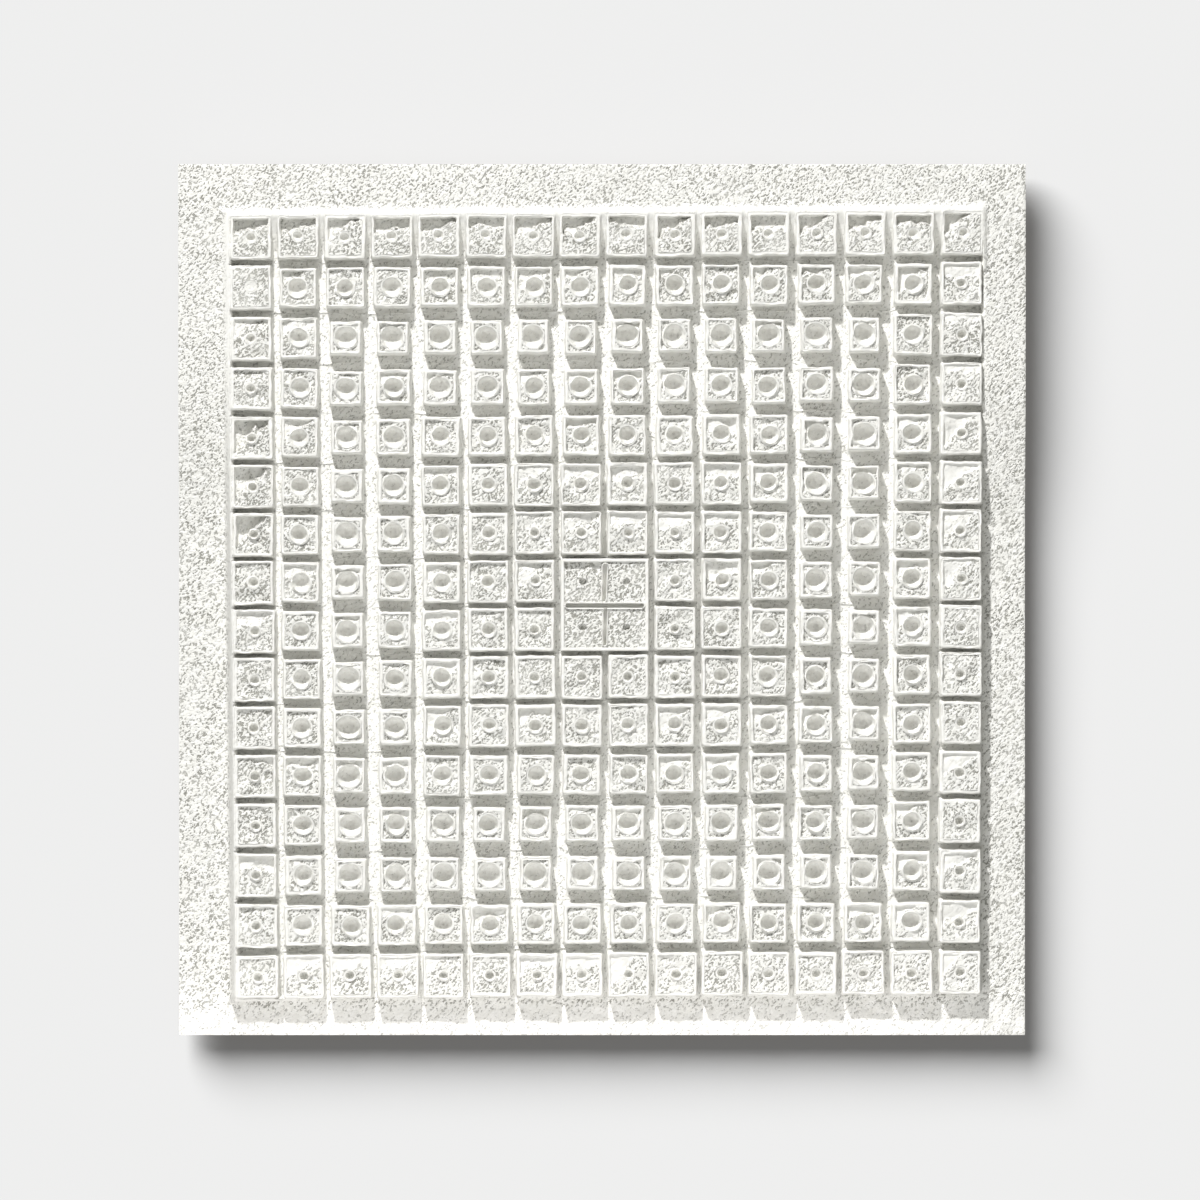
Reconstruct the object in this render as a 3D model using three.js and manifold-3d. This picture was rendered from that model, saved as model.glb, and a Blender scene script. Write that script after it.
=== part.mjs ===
// A square relief panel that hangs on a wall. Its face is sand plaster: a flat border round a field of
// square blocks, each with a round socket, laid in rows on a board. Behind the board are a shallow
// wooden cradle, two D-ring hangers and four bumpers.
// Frame: +Z up, +X to the right of someone facing the panel, the face towards -Y and the wall towards +Y.
// The origin is the middle of the cradle's back.
import * as THREE from "three";
import { mergeVertices } from "three/addons/utils/BufferGeometryUtils.js";
import Module from "manifold-3d";

const wasm = await Module();
wasm.setup();

// Overall size, in millimetres.
const panelWidth = 800;
const panelHeight = 823;

// Depths, from the back to the face.
const bumperThickness = 8;
const railDepth = 15;
const boardThickness = 8;
const webThickness = 5; // the plaster ground that the blocks of a row stand on
const blockHeight = 18; // from the ground to the top of a block
const seam = 0.3; // left open between pieces that lie against each other

// The field of blocks and the border round it, measured at the middle of each side.
const columns = 16;
const rows = 16;
const borderLeft = 49;
const borderRight = 38;
const borderTop = 43;
const borderBottom = 34;
const borderHeadThickness = 18; // the border is built up at the head of the panel
const borderFootThickness = 6;

// The field is laid by hand, so it isn't quite square.
const leftLean = 7.5; // the left edge moves in by this from head to foot
const rightLean = 3; // and so does the right edge
const rowRise = 5; // the right end of a row stands this much higher than its left end
const columnDrift = -4; // the columns right of the middle stand this far to one side of even spacing
const rowDrift = 3.4; // the rows of the upper half sit this much too low, and those of the lower too high

// Each ring of blocks, from the outside in: the groove round its blocks, and their sockets.
const rings = [
  { groove: 6.5, socket: 9, depth: 9 },
  { groove: 10, socket: 17, depth: 13 },
  { groove: 16, socket: 21, depth: 15 },
  { groove: 14.5, socket: 19, depth: 14 },
  { groove: 10, socket: 16.5, depth: 12.5 },
  { groove: 7.5, socket: 12.5, depth: 10.5 },
  { groove: 7, socket: 9, depth: 8.5 },
  { groove: 7.5, socket: 6, depth: 6 },
];
const blockDraft = 1.2; // a block's foot is wider than its top by this on each side
const socketSides = 8;

// The middle four blocks are one tile with crossed slots.
const tileSlotWidth = 4;
const tileSlotDepth = 8;
const tileSlotMargin = 6; // from the end of a slot to the tile's edge
const tileSlotBridge = 3; // between the long slot and each short one

// The cradle.
const cradleInset = 30; // from the board's edge to the cradle's
const railWidth = 40;
const braceWidth = 40;
const cornerBlockLeg = 60;
const cornerBlockThickness = 12;

// The countersunk wood screws.
const screwShankRadius = 1.75;
const screwHeadRadius = 3.5;
const screwHeadDepth = 2;
const screwTipLength = 4;
const screwSides = 8;
const headBelowFace = 0.1;
const boardScrewLength = 19;
const hangerScrewLength = 13;
const boardScrewSpacing = 400; // between the two screws in the top rail, and in the bottom rail
const driveSlotWidth = 0.9;
const driveSlotLength = 4.4;
const driveSlotDepth = 1.1;

// The D-ring hangers.
const hangerDrop = 150; // from the top of the panel to the ring's pivot
const ringWireRadius = 1.5;
const ringCornerRadius = 4;
const ringArmLength = 12; // from the pivot to where the bow begins
const ringJointGap = 0.8; // where the wire's two ends meet, inside the strap's curl
const strapWidth = 16;
const strapThickness = 1.5;
const strapLength = 44; // from the pivot down
const strapPlay = 0.3; // round the ring's bar
const strapCurlEnd = -50; // degrees below the level, where the curl stops
const strapScrewPlaces = [13, 36]; // below the pivot
const hangerToScrew = 25; // from the strap's foot to the next screw in the rail

// The bumpers.
const bumperRadius = 11;
const bumperTipRadius = 9.5;
const bumperSides = 24;

const weldDistance = 1e-4;

// Places that follow from the sizes above.
const boardBack = -(railDepth + seam);
const boardFront = boardBack - boardThickness;
const plasterBack = boardFront - seam;
const cradleHalfWidth = panelWidth / 2 - cradleInset;
const cradleHalfHeight = panelHeight / 2 - cradleInset;
const sideRailX = cradleHalfWidth - railWidth / 2;
const endRailZ = cradleHalfHeight - railWidth / 2;
const hangerZ = panelHeight / 2 - hangerDrop;
const sideScrewZ = hangerZ - strapLength - hangerToScrew;
const pivotY = seam + strapThickness + strapPlay + ringWireRadius;

const fieldCorners = {
  topLeft: [-panelWidth / 2 + borderLeft - leftLean / 2, panelHeight / 2 - borderTop - rowRise / 2],
  topRight: [panelWidth / 2 - borderRight + rightLean / 2, panelHeight / 2 - borderTop + rowRise / 2],
  bottomLeft: [-panelWidth / 2 + borderLeft + leftLean / 2, -panelHeight / 2 + borderBottom - rowRise / 2],
  bottomRight: [panelWidth / 2 - borderRight - rightLean / 2, -panelHeight / 2 + borderBottom + rowRise / 2],
};
const fieldWidth = panelWidth - borderLeft - borderRight;
const fieldHeight = panelHeight - borderTop - borderBottom;
const pitchX = fieldWidth / columns;
const pitchZ = fieldHeight / rows;

const mix = (a, b, share) => a + (b - a) * share;

// A point of the field: across runs from 0 at the left edge to 1 at the right, down from 0 at the head to 1.
// Both drift in a slow wave that comes back to nothing at the edges.
function fieldPoint(across, down) {
  const { topLeft, topRight, bottomLeft, bottomRight } = fieldCorners;
  const u = across + (columnDrift / fieldWidth) * Math.sin(Math.PI * across ** 2);
  const v = down + (rowDrift / fieldHeight) * Math.sin(2 * Math.PI * down);
  const along = (axis) =>
    mix(mix(topLeft[axis], topRight[axis], u), mix(bottomLeft[axis], bottomRight[axis], u), v);
  return [along(0), along(1)];
}

// The height of a row line of the field, carried on in a straight line to any x.
function rowLineZ(x, down) {
  const [leftX, leftZ] = fieldPoint(0, down);
  const [rightX, rightZ] = fieldPoint(1, down);
  return mix(leftZ, rightZ, (x - leftX) / (rightX - leftX));
}

// A geometry as a solid that can be joined and cut.
function solid(geometry) {
  const bare = geometry.clone();
  bare.deleteAttribute("normal");
  bare.deleteAttribute("uv");
  const merged = mergeVertices(bare, weldDistance);
  const mesh = new wasm.Mesh({
    numProp: 3,
    vertProperties: merged.attributes.position.array,
    triVerts: new Uint32Array(merged.index.array),
  });
  return new wasm.Manifold(mesh);
}

// And back from a solid to a geometry.
function geometryOf(body) {
  const { vertProperties, triVerts } = body.getMesh();
  const geometry = new THREE.BufferGeometry();
  geometry.setAttribute("position", new THREE.BufferAttribute(vertProperties, 3));
  geometry.setIndex(new THREE.BufferAttribute(triVerts, 1));
  return geometry;
}

const joined = (solids) => solids.reduce((all, next) => all.add(next));
const cutAway = (body, cutters) => cutters.reduce((rest, cutter) => rest.subtract(cutter), body);

// A box whose corners are moved: corner(sideX, sideZ, isFront) gives the place of each.
function cornerBox(corner) {
  const geometry = new THREE.BoxGeometry(2, 2, 2);
  const places = geometry.attributes.position;
  for (let i = 0; i < places.count; i += 1) {
    const [x, y, z] = corner(places.getX(i), places.getZ(i), places.getY(i) < 0);
    places.setXYZ(i, x, y, z);
  }
  return geometry;
}

// A shape drawn as X and Z, made solid from its plane towards the face.
function extrudeForward(shape, depth, curveSegments) {
  const geometry = new THREE.ExtrudeGeometry(shape, { depth, bevelEnabled: false, curveSegments });
  const turn = new THREE.Matrix4().makeBasis(
    new THREE.Vector3(1, 0, 0),
    new THREE.Vector3(0, 0, 1),
    new THREE.Vector3(0, -1, 0),
  );
  return geometry.applyMatrix4(turn);
}

const panel = new THREE.Group();

function addMesh(parent, name, geometry, finish, x = 0, y = 0, z = 0) {
  const mesh = new THREE.Mesh(geometry, new THREE.MeshStandardMaterial(finish));
  mesh.name = name;
  mesh.position.set(x, y, z);
  parent.add(mesh);
  return mesh;
}

const blockPlaster = { color: 0xf8f8f4, roughness: 0.92, metalness: 0 };
const borderPlaster = { color: 0xf3f3ef, roughness: 0.97, metalness: 0 };
const fibreboard = { color: 0xa98a63, roughness: 0.85, metalness: 0 };
const pine = { color: 0xdcc091, roughness: 0.7, metalness: 0 };
const zincSteel = { color: 0xb9bcc0, roughness: 0.35, metalness: 0.9 };
const blackRubber = { color: 0x26272a, roughness: 0.85, metalness: 0 };

// ---- Plaster: everything in this group has its back at y = 0 and its face towards -Y.
const plaster = new THREE.Group();
plaster.position.y = plasterBack;
panel.add(plaster);

const groundLevel = -webThickness;
const blockLevel = groundLevel - blockHeight;

// A border strip. Its thickness follows the height, from the field's head to its foot.
function borderThickness(z) {
  const head = panelHeight / 2 - borderTop;
  const foot = -panelHeight / 2 + borderBottom;
  const share = THREE.MathUtils.clamp((head - z) / (head - foot), 0, 1);
  return mix(borderHeadThickness, borderFootThickness, share);
}

function endBorder(name, side, down, thickness) {
  const geometry = cornerBox((sideX, sideZ, isFront) => {
    const x = (sideX * panelWidth) / 2;
    const z = sideZ === side ? (side * panelHeight) / 2 : rowLineZ(x, down) + (side * seam) / 2;
    return [x, isFront ? -thickness : 0, z];
  });
  addMesh(plaster, name, geometry, borderPlaster);
}

function sideBorder(name, side, across) {
  const geometry = cornerBox((sideX, sideZ, isFront) => {
    const down = sideZ > 0 ? 0 : 1;
    const x = sideX === side ? (side * panelWidth) / 2 : fieldPoint(across, down)[0] + (side * seam) / 2;
    const z = rowLineZ(x, down) - (sideZ * seam) / 2;
    return [x, isFront ? -borderThickness(z) : 0, z];
  });
  addMesh(plaster, name, geometry, borderPlaster);
}

endBorder("margin_top", 1, 0, borderHeadThickness);
endBorder("margin_bottom", -1, 1, borderFootThickness);
sideBorder("margin_left", -1, 0);
sideBorder("margin_right", 1, 1);

// A block, tapered from its foot to its top, and the cutter for its socket.
function block(x, z, width, height, footLevel) {
  const geometry = cornerBox((sideX, sideZ, isFront) => {
    const spread = isFront ? 0 : blockDraft;
    const y = isFront ? blockLevel : footLevel;
    return [x + sideX * (width / 2 + spread), y, z + sideZ * (height / 2 + spread)];
  });
  return solid(geometry);
}

function socketCutter(x, z, { socket, depth }) {
  const geometry = new THREE.CylinderGeometry(socket / 2, socket / 2, 2 * depth, socketSides);
  return solid(geometry.translate(x, blockLevel, z));
}

const ringOf = (row, column) => Math.min(row, column, rows - 1 - row, columns - 1 - column);
const lastRing = rings.length - 1;
const inTile = (row, column) => ringOf(row, column) === lastRing;

// One row: its web, its blocks and their sockets, kept inside the row's own band of the field.
function addRow(row) {
  const band = (frontLevel) =>
    solid(
      cornerBox((sideX, sideZ, isFront) => {
        const [x, z] = fieldPoint((sideX + 1) / 2, (row + (1 - sideZ) / 2) / rows);
        return [x - (sideX * seam) / 2, isFront ? frontLevel : 0, z - (sideZ * seam) / 2];
      }),
    );
  const blocks = [];
  const sockets = [];
  for (let column = 0; column < columns; column += 1) {
    if (inTile(row, column)) continue;
    const ring = rings[ringOf(row, column)];
    const [x, z] = fieldPoint((column + 0.5) / columns, (row + 0.5) / rows);
    blocks.push(block(x, z, pitchX - ring.groove, pitchZ - ring.groove, 0));
    sockets.push(socketCutter(x, z, ring));
  }
  const standing = joined(blocks).intersect(band(blockLevel));
  const body = cutAway(band(groundLevel).add(standing), sockets);
  const name = "cell_row_" + String(row + 1).padStart(2, "0");
  addMesh(plaster, name, geometryOf(body), blockPlaster);
}

for (let row = 0; row < rows; row += 1) addRow(row);

// The middle tile lies on the webs of the two middle rows.
function slotShape(x, z, length, turned) {
  const radius = tileSlotWidth / 2;
  const reach = length / 2 - radius;
  const shape = new THREE.Shape();
  if (turned) {
    shape.absarc(x, z + reach, radius, 0, Math.PI, false);
    shape.absarc(x, z - reach, radius, Math.PI, 2 * Math.PI, false);
  } else {
    shape.absarc(x + reach, z, radius, -Math.PI / 2, Math.PI / 2, false);
    shape.absarc(x - reach, z, radius, Math.PI / 2, (3 * Math.PI) / 2, false);
  }
  return shape;
}

function addTile() {
  const ring = rings[lastRing];
  const [x, z] = fieldPoint(0.5, 0.5);
  const width = 2 * pitchX - ring.groove;
  const height = 2 * pitchZ - ring.groove;
  const longSlot = width - 2 * tileSlotMargin;
  const shortSlot = height / 2 - tileSlotMargin - tileSlotWidth / 2 - tileSlotBridge;
  const shortOffset = height / 2 - tileSlotMargin - shortSlot / 2;
  const slots = [
    slotShape(x, z, longSlot, false),
    slotShape(x, z + shortOffset, shortSlot, true),
    slotShape(x, z - shortOffset, shortSlot, true),
  ];
  const slotStart = blockLevel + tileSlotDepth;
  const slotCutters = slots.map((shape) =>
    solid(extrudeForward(shape, 2 * tileSlotDepth, 4).translate(0, slotStart, 0)),
  );
  const sockets = [];
  for (const sideX of [-1, 1]) {
    for (const sideZ of [-1, 1]) {
      sockets.push(socketCutter(x + (sideX * pitchX) / 2, z + (sideZ * pitchZ) / 2, ring));
    }
  }
  const body = block(x, z, width, height, groundLevel - seam);
  addMesh(plaster, "centre_tile", geometryOf(cutAway(body, [...slotCutters, ...sockets])), blockPlaster);
}

addTile();

// ---- Screws. A screw's head is flat, at its own y = 0, and it points to +Y.
function screwProfile(length, play) {
  const points = [
    [0, -play],
    [screwHeadRadius + play, -play],
    [screwHeadRadius + play, 0],
    [screwShankRadius + play, screwHeadDepth],
    [screwShankRadius + play, length - screwTipLength],
    [0, length + play],
  ];
  return points.map(([radius, y]) => new THREE.Vector2(radius, y));
}

function screwGeometry(length, play = 0) {
  const profile = screwProfile(length, play).filter((point, i) => play > 0 || i !== 2);
  return new THREE.LatheGeometry(profile, screwSides);
}

// The room for a screw at (x, z) whose head lies at y = headLevel; side 1 points to +Y and -1 to -Y.
function screwRoom(length, side, x, headLevel, z) {
  const geometry = screwGeometry(length, seam);
  if (side < 0) geometry.rotateX(Math.PI);
  return solid(geometry.translate(x, headLevel, z));
}

const boardScrewPlaces = [
  [-boardScrewSpacing / 2, endRailZ],
  [boardScrewSpacing / 2, endRailZ],
  [-sideRailX, sideScrewZ],
  [sideRailX, sideScrewZ],
  [-sideRailX, -sideScrewZ],
  [sideRailX, -sideScrewZ],
  [-boardScrewSpacing / 2, -endRailZ],
  [boardScrewSpacing / 2, -endRailZ],
];
const boardHead = boardFront + headBelowFace;
const boardScrewRooms = boardScrewPlaces.map(([x, z]) => screwRoom(boardScrewLength, 1, x, boardHead, z));

boardScrewPlaces.forEach(([x, z], i) => {
  addMesh(panel, "board_screw_" + (i + 1), screwGeometry(boardScrewLength), zincSteel, x, boardHead, z);
});

const hangerHead = seam + strapThickness - headBelowFace;
const hangerScrewRooms = (x) =>
  strapScrewPlaces.map((drop) => screwRoom(hangerScrewLength, -1, x, hangerHead, hangerZ - drop));

// ---- Board and cradle.
function bar(width, depth, height, x, y, z) {
  return solid(new THREE.BoxGeometry(width, depth, height).translate(x, y, z));
}

const board = bar(panelWidth, boardThickness, panelHeight, 0, (boardBack + boardFront) / 2, 0);
addMesh(panel, "face_board", geometryOf(cutAway(board, boardScrewRooms)), fibreboard);

// A cradle piece, bored for every screw that reaches it.
function addCradlePiece(name, width, height, x, z, rooms = []) {
  const body = bar(width, railDepth, height, x, -railDepth / 2, z);
  addMesh(panel, name, geometryOf(cutAway(body, rooms)), pine);
}

const sideRailLength = 2 * (cradleHalfHeight - railWidth - seam);
addCradlePiece("rail_top", 2 * cradleHalfWidth, railWidth, 0, endRailZ, boardScrewRooms);
addCradlePiece("rail_bottom", 2 * cradleHalfWidth, railWidth, 0, -endRailZ, boardScrewRooms);
for (const [name, side] of [["rail_left", -1], ["rail_right", 1]]) {
  const x = side * sideRailX;
  const rooms = [...boardScrewRooms, ...hangerScrewRooms(x)];
  addCradlePiece(name, railWidth, sideRailLength, x, 0, rooms);
}

const braceReach = cradleHalfWidth - railWidth - seam;
const braceStart = braceWidth / 2 + seam;
addCradlePiece("brace_vertical", braceWidth, sideRailLength, 0, 0);
for (const [name, side] of [["brace_left", -1], ["brace_right", 1]]) {
  addCradlePiece(name, braceReach - braceStart, braceWidth, (side * (braceReach + braceStart)) / 2, 0);
}

// A glued block with a right-angled outline in each inside corner of the cradle.
function addCornerBlock(name, sideX, sideZ) {
  const x = sideX * (cradleHalfWidth - railWidth - seam);
  const z = sideZ * (cradleHalfHeight - railWidth - seam);
  const outline = new THREE.Shape([
    new THREE.Vector2(x, z),
    new THREE.Vector2(x - sideX * cornerBlockLeg, z),
    new THREE.Vector2(x, z - sideZ * cornerBlockLeg),
  ]);
  const geometry = extrudeForward(outline, cornerBlockThickness);
  addMesh(panel, name, geometry, pine, 0, cornerBlockThickness - railDepth, 0);
}

// ---- Hangers. Each group has its origin on the cradle's back, level with the ring's pivot.
function strapGeometry() {
  const outer = ringWireRadius + strapPlay + strapThickness;
  const inner = ringWireRadius + strapPlay;
  const curlEnd = THREE.MathUtils.degToRad(strapCurlEnd);
  const section = new THREE.Shape();
  section.moveTo(seam, -strapLength);
  section.lineTo(seam, 0);
  section.absarc(pivotY, 0, outer, Math.PI, curlEnd, true);
  section.absarc(pivotY, 0, inner, curlEnd, Math.PI, false);
  section.lineTo(seam + strapThickness, -strapLength);
  const alongX = new THREE.Matrix4().makeBasis(
    new THREE.Vector3(0, 1, 0),
    new THREE.Vector3(0, 0, 1),
    new THREE.Vector3(1, 0, 0),
  );
  const strip = new THREE.ExtrudeGeometry(section, { depth: strapWidth, bevelEnabled: false, curveSegments: 10 });
  const body = solid(strip.applyMatrix4(alongX).translate(-strapWidth / 2, 0, 0));
  const holes = strapScrewPlaces.map((drop) => screwRoom(hangerScrewLength, -1, 0, hangerHead, -drop));
  return geometryOf(cutAway(body, holes));
}

// The ring is bent from wire: a straight bar through the strap, two arms and a half-round bow.
function ringGeometry() {
  const halfWidth = strapWidth / 2 + ringCornerRadius + 1;
  const straightEnd = halfWidth - ringCornerRadius;
  const points = [new THREE.Vector3(ringJointGap / 2, 0, 0), new THREE.Vector3(straightEnd, 0, 0)];
  const addArc = (x, z, radius, from, to, steps) => {
    for (let i = 1; i <= steps; i += 1) {
      const angle = THREE.MathUtils.degToRad(mix(from, to, i / steps));
      points.push(new THREE.Vector3(x + radius * Math.cos(angle), 0, z + radius * Math.sin(angle)));
    }
  };
  addArc(straightEnd, -ringCornerRadius, ringCornerRadius, 90, 0, 3);
  points.push(new THREE.Vector3(halfWidth, 0, -ringArmLength));
  addArc(0, -ringArmLength, halfWidth, 0, -180, 8);
  points.push(new THREE.Vector3(-halfWidth, 0, -ringCornerRadius));
  addArc(-straightEnd, -ringCornerRadius, ringCornerRadius, 180, 90, 3);
  points.push(new THREE.Vector3(-ringJointGap / 2, 0, 0));
  const wire = new THREE.Shape().absarc(0, 0, ringWireRadius, 0, 2 * Math.PI, false);
  const path = new THREE.CatmullRomCurve3(points, false, "centripetal");
  return new THREE.ExtrudeGeometry(wire, { steps: 32, curveSegments: 4, extrudePath: path });
}

function hangerScrewGeometry() {
  const body = solid(screwGeometry(hangerScrewLength));
  const arms = [0, Math.PI / 2].map((turn) => {
    const arm = new THREE.BoxGeometry(driveSlotLength, 2 * driveSlotDepth, driveSlotWidth);
    return solid(arm.rotateY(turn));
  });
  return geometryOf(cutAway(body, arms)).rotateX(Math.PI);
}

function addHanger(suffix, side) {
  const hanger = new THREE.Group();
  hanger.position.set(side * sideRailX, 0, hangerZ);
  panel.add(hanger);
  addMesh(hanger, "hanger_strap_" + suffix, strapGeometry(), zincSteel);
  addMesh(hanger, "hanger_ring_" + suffix, ringGeometry(), zincSteel, 0, pivotY, 0);
  strapScrewPlaces.forEach((drop, i) => {
    const name = "hanger_screw_" + suffix + "_" + (i + 1);
    addMesh(hanger, name, hangerScrewGeometry(), zincSteel, 0, hangerHead, -drop);
  });
}

addHanger("left", -1);
addHanger("right", 1);

// ---- The four corners of the cradle: a glued block inside and a rubber bumper on the back.
for (const [level, sideZ] of [["top", 1], ["bottom", -1]]) {
  for (const [hand, sideX] of [["left", -1], ["right", 1]]) {
    const corner = level + "_" + hand;
    addCornerBlock("corner_block_" + corner, sideX, sideZ);
    const bumper = new THREE.CylinderGeometry(bumperTipRadius, bumperRadius, bumperThickness, bumperSides);
    const y = seam + bumperThickness / 2;
    addMesh(panel, "wall_bumper_" + corner, bumper, blackRubber, sideX * sideRailX, y, sideZ * endRailZ);
  }
}

export default panel;
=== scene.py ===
import math

import bmesh
import bpy
import numpy as np
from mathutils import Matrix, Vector


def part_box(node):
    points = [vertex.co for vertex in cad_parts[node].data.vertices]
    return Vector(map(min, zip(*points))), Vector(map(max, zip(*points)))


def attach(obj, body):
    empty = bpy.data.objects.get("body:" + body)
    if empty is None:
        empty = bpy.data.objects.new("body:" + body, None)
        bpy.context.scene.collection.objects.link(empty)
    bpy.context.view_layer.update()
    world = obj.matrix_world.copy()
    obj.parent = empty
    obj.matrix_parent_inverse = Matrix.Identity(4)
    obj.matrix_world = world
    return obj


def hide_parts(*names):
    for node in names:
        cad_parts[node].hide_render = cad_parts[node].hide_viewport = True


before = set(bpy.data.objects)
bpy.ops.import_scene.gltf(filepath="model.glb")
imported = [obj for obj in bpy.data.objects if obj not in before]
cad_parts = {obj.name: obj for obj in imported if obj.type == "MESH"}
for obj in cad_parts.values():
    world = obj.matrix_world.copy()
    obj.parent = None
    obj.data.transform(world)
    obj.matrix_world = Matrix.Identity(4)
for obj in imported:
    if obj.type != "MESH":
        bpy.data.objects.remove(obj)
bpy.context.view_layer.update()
mm = 0.001

# A wall-hung relief panel of sand plaster. +X is to the right of someone facing it, +Z is up and the
# face looks towards -Y. Heights on the face are measured towards the viewer from the plaster ground.

rowNames = ["cell_row_%02d" % (i + 1) for i in range(16)]
columnCount = 16
rowCount = len(rowNames)

panelLow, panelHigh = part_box("face_board")
tileLow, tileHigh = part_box("centre_tile")
groundY = tileHigh.y                     # the ground that the blocks stand on
blockTop = tileHigh.y - tileLow.y        # height of a block above it
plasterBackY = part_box(rowNames[0])[1].y
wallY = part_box("wall_bumper_top_left")[1].y


# The layout of the field.

handLaid = {
    "rowDrift": 3.4 * mm,       # the rows bunch a little towards the middle, in one long wave
    "columnDrift": -4.0 * mm,   # and the columns right of the middle stand further left
}


def fieldCornersFromFrame():
    # The first and last rows give the two leaning sides of the field, which are equally high. The first
    # row's low corner lies on the first line between rows, and that line has drifted a little.
    headLow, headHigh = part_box(rowNames[0])
    footLow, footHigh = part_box(rowNames[-1])
    drift = handLaid["rowDrift"] * math.sin(2 * math.pi / rowCount)
    height = (headLow.z - footLow.z + drift) * rowCount / (rowCount - 1)
    lastLine = 1 - 1 / rowCount - drift / height
    topLeft = (headLow.x, footLow.z + height)
    topRight = (headHigh.x, headHigh.z)
    bottomLeft = (headLow.x + (footLow.x - headLow.x) / lastLine, footLow.z)
    bottomRight = (headHigh.x + (footHigh.x - headHigh.x) / lastLine, headHigh.z - height)
    return np.array([topLeft, topRight, bottomLeft, bottomRight])


fieldCorners = fieldCornersFromFrame()
fieldHeight = fieldCorners[0][1] - fieldCorners[2][1]
fieldWidth = (fieldCorners[1][0] - fieldCorners[0][0] + fieldCorners[3][0] - fieldCorners[2][0]) / 2


def mix(a, b, share):
    return a + (b - a) * share


def smoothStep(t):
    # 0 below 0, 1 above 1, and the cubic 3t^2 - 2t^3 between
    t = np.clip(t, 0, 1)
    return t * t * (3 - 2 * t)


def fieldPoint(across, down):
    # Straight lines between the four corners, plus the slow drift of hand-laid rows and columns:
    # one sine wave down the rows, and half a sine wave, pushed to the right, along the columns.
    (tl, tr, bl, br) = fieldCorners
    u = across + handLaid["columnDrift"] / fieldWidth * np.sin(math.pi * across ** 2)
    v = down + handLaid["rowDrift"] / fieldHeight * np.sin(2 * math.pi * down)
    x = mix(mix(tl[0], tr[0], u), mix(bl[0], br[0], u), v)
    z = mix(mix(tl[1], tr[1], u), mix(bl[1], br[1], u), v)
    return x, z


def edgeDistances(x, z):
    # How far a point lies inside each straight edge of the field: left, right, top, bottom.
    (tl, tr, bl, br) = fieldCorners
    leftX = mix(tl[0], bl[0], (z - tl[1]) / (bl[1] - tl[1]))
    rightX = mix(tr[0], br[0], (z - tr[1]) / (br[1] - tr[1]))
    topZ = mix(tl[1], tr[1], (x - tl[0]) / (tr[0] - tl[0]))
    bottomZ = mix(bl[1], br[1], (x - bl[0]) / (br[0] - bl[0]))
    return x - leftX, rightX - x, topZ - z, z - bottomZ


def softNoise(x, z, size, seed):
    # Value noise: random numbers on a square lattice of the given size, joined by smooth steps.
    count = int(1.2 / size) + 3
    table = np.random.default_rng(seed).uniform(-1, 1, (count, count))
    u, v = (x + 0.6) / size, (z + 0.6) / size
    i, j = np.floor(u).astype(int), np.floor(v).astype(int)
    fu, fv = smoothStep(u - i), smoothStep(v - j)
    i, j = i % count, j % count
    nextI, nextJ = (i + 1) % count, (j + 1) % count
    low = mix(table[i, j], table[nextI, j], fu)
    high = mix(table[i, nextJ], table[nextI, nextJ], fu)
    return mix(low, high, fv)


# The ground and the border's own height.

border = {
    "headLevel": 13.0 * mm,    # the border's height at the head, above the ground of the field
    "footLevel": 1.0 * mm,
    "fallStart": 0.20,         # where it falls from one to the other, as a share of the field's height
    "fallLength": 0.22,
    "lipRun": 7.5 * mm,        # at the head and the left it is floated up to the blocks over this length
    "lipDrop": 0.3 * mm,       # and ends this far below their tops
    "innerStart": 2.6 * mm,    # inside the field it stops between these distances from the edge
    "innerEnd": 5.4 * mm,
    "headFill": 4.5 * mm,      # but at the head it fills the space above the blocks,
    "headRamp": 32.0 * mm,     # and runs down each groove of the first row over this length
    "lumps": 0.9 * mm,
    "footLumps": 0.9 * mm,
    "footFinish": 0.45,        # the border's foot is rubbed this much smoother
    "grain": 0.20 * mm,
    "gridStep": 1.5 * mm,
    "edgeDrop": 0.5 * mm,
}


def groundHeight(x, z):
    # The level of the ground or border at a point, and how much of it is the smooth floated lip.
    left, right, top, bottom = edgeDistances(x, z)
    fall = smoothStep((top / fieldHeight - border["fallStart"]) / border["fallLength"])
    level = mix(border["headLevel"], border["footLevel"], fall)
    level = level + border["lumps"] * softNoise(x, z, 60 * mm, 11) * (1 - 0.7 * fall)
    level = level + border["footLumps"] * (softNoise(x, z, 8 * mm, 13) + 0.6) * fall * (bottom < 2 * mm)
    inside = np.minimum(np.minimum(left, right), bottom)
    isBorder = 1 - smoothStep((inside - border["innerStart"]) / (border["innerEnd"] - border["innerStart"]))
    inFirstRow = 1 - np.clip((top - border["headFill"]) / border["headRamp"], 0, 1)
    isBorder = np.where(left > 0, np.maximum(isBorder, inFirstRow), isBorder)
    lipTop = smoothStep((top + border["lipRun"] * 0.75) / border["lipRun"]) * (left > -border["lipRun"])
    lipLeft = smoothStep((left + border["lipRun"] * 0.75) / border["lipRun"]) * (bottom > 0)
    nearTop = top < left
    lip = np.where(nearTop, lipTop, lipLeft) * (np.minimum(left, top) < 60 * mm)
    for distance in [bottom, right]:
        lip = lip * smoothStep((distance + 2 * mm) / (6 * mm))
    level = mix(level, blockTop - border["lipDrop"], lip)
    height = level * isBorder + 0.35 * mm * softNoise(x, z, 7 * mm, 12) * (1 - isBorder)
    return height, lip * isBorder


# Making meshes.

def linked(name, data):
    thing = bpy.data.objects.new(name, data)
    bpy.context.scene.collection.objects.link(thing)
    return thing


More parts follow.
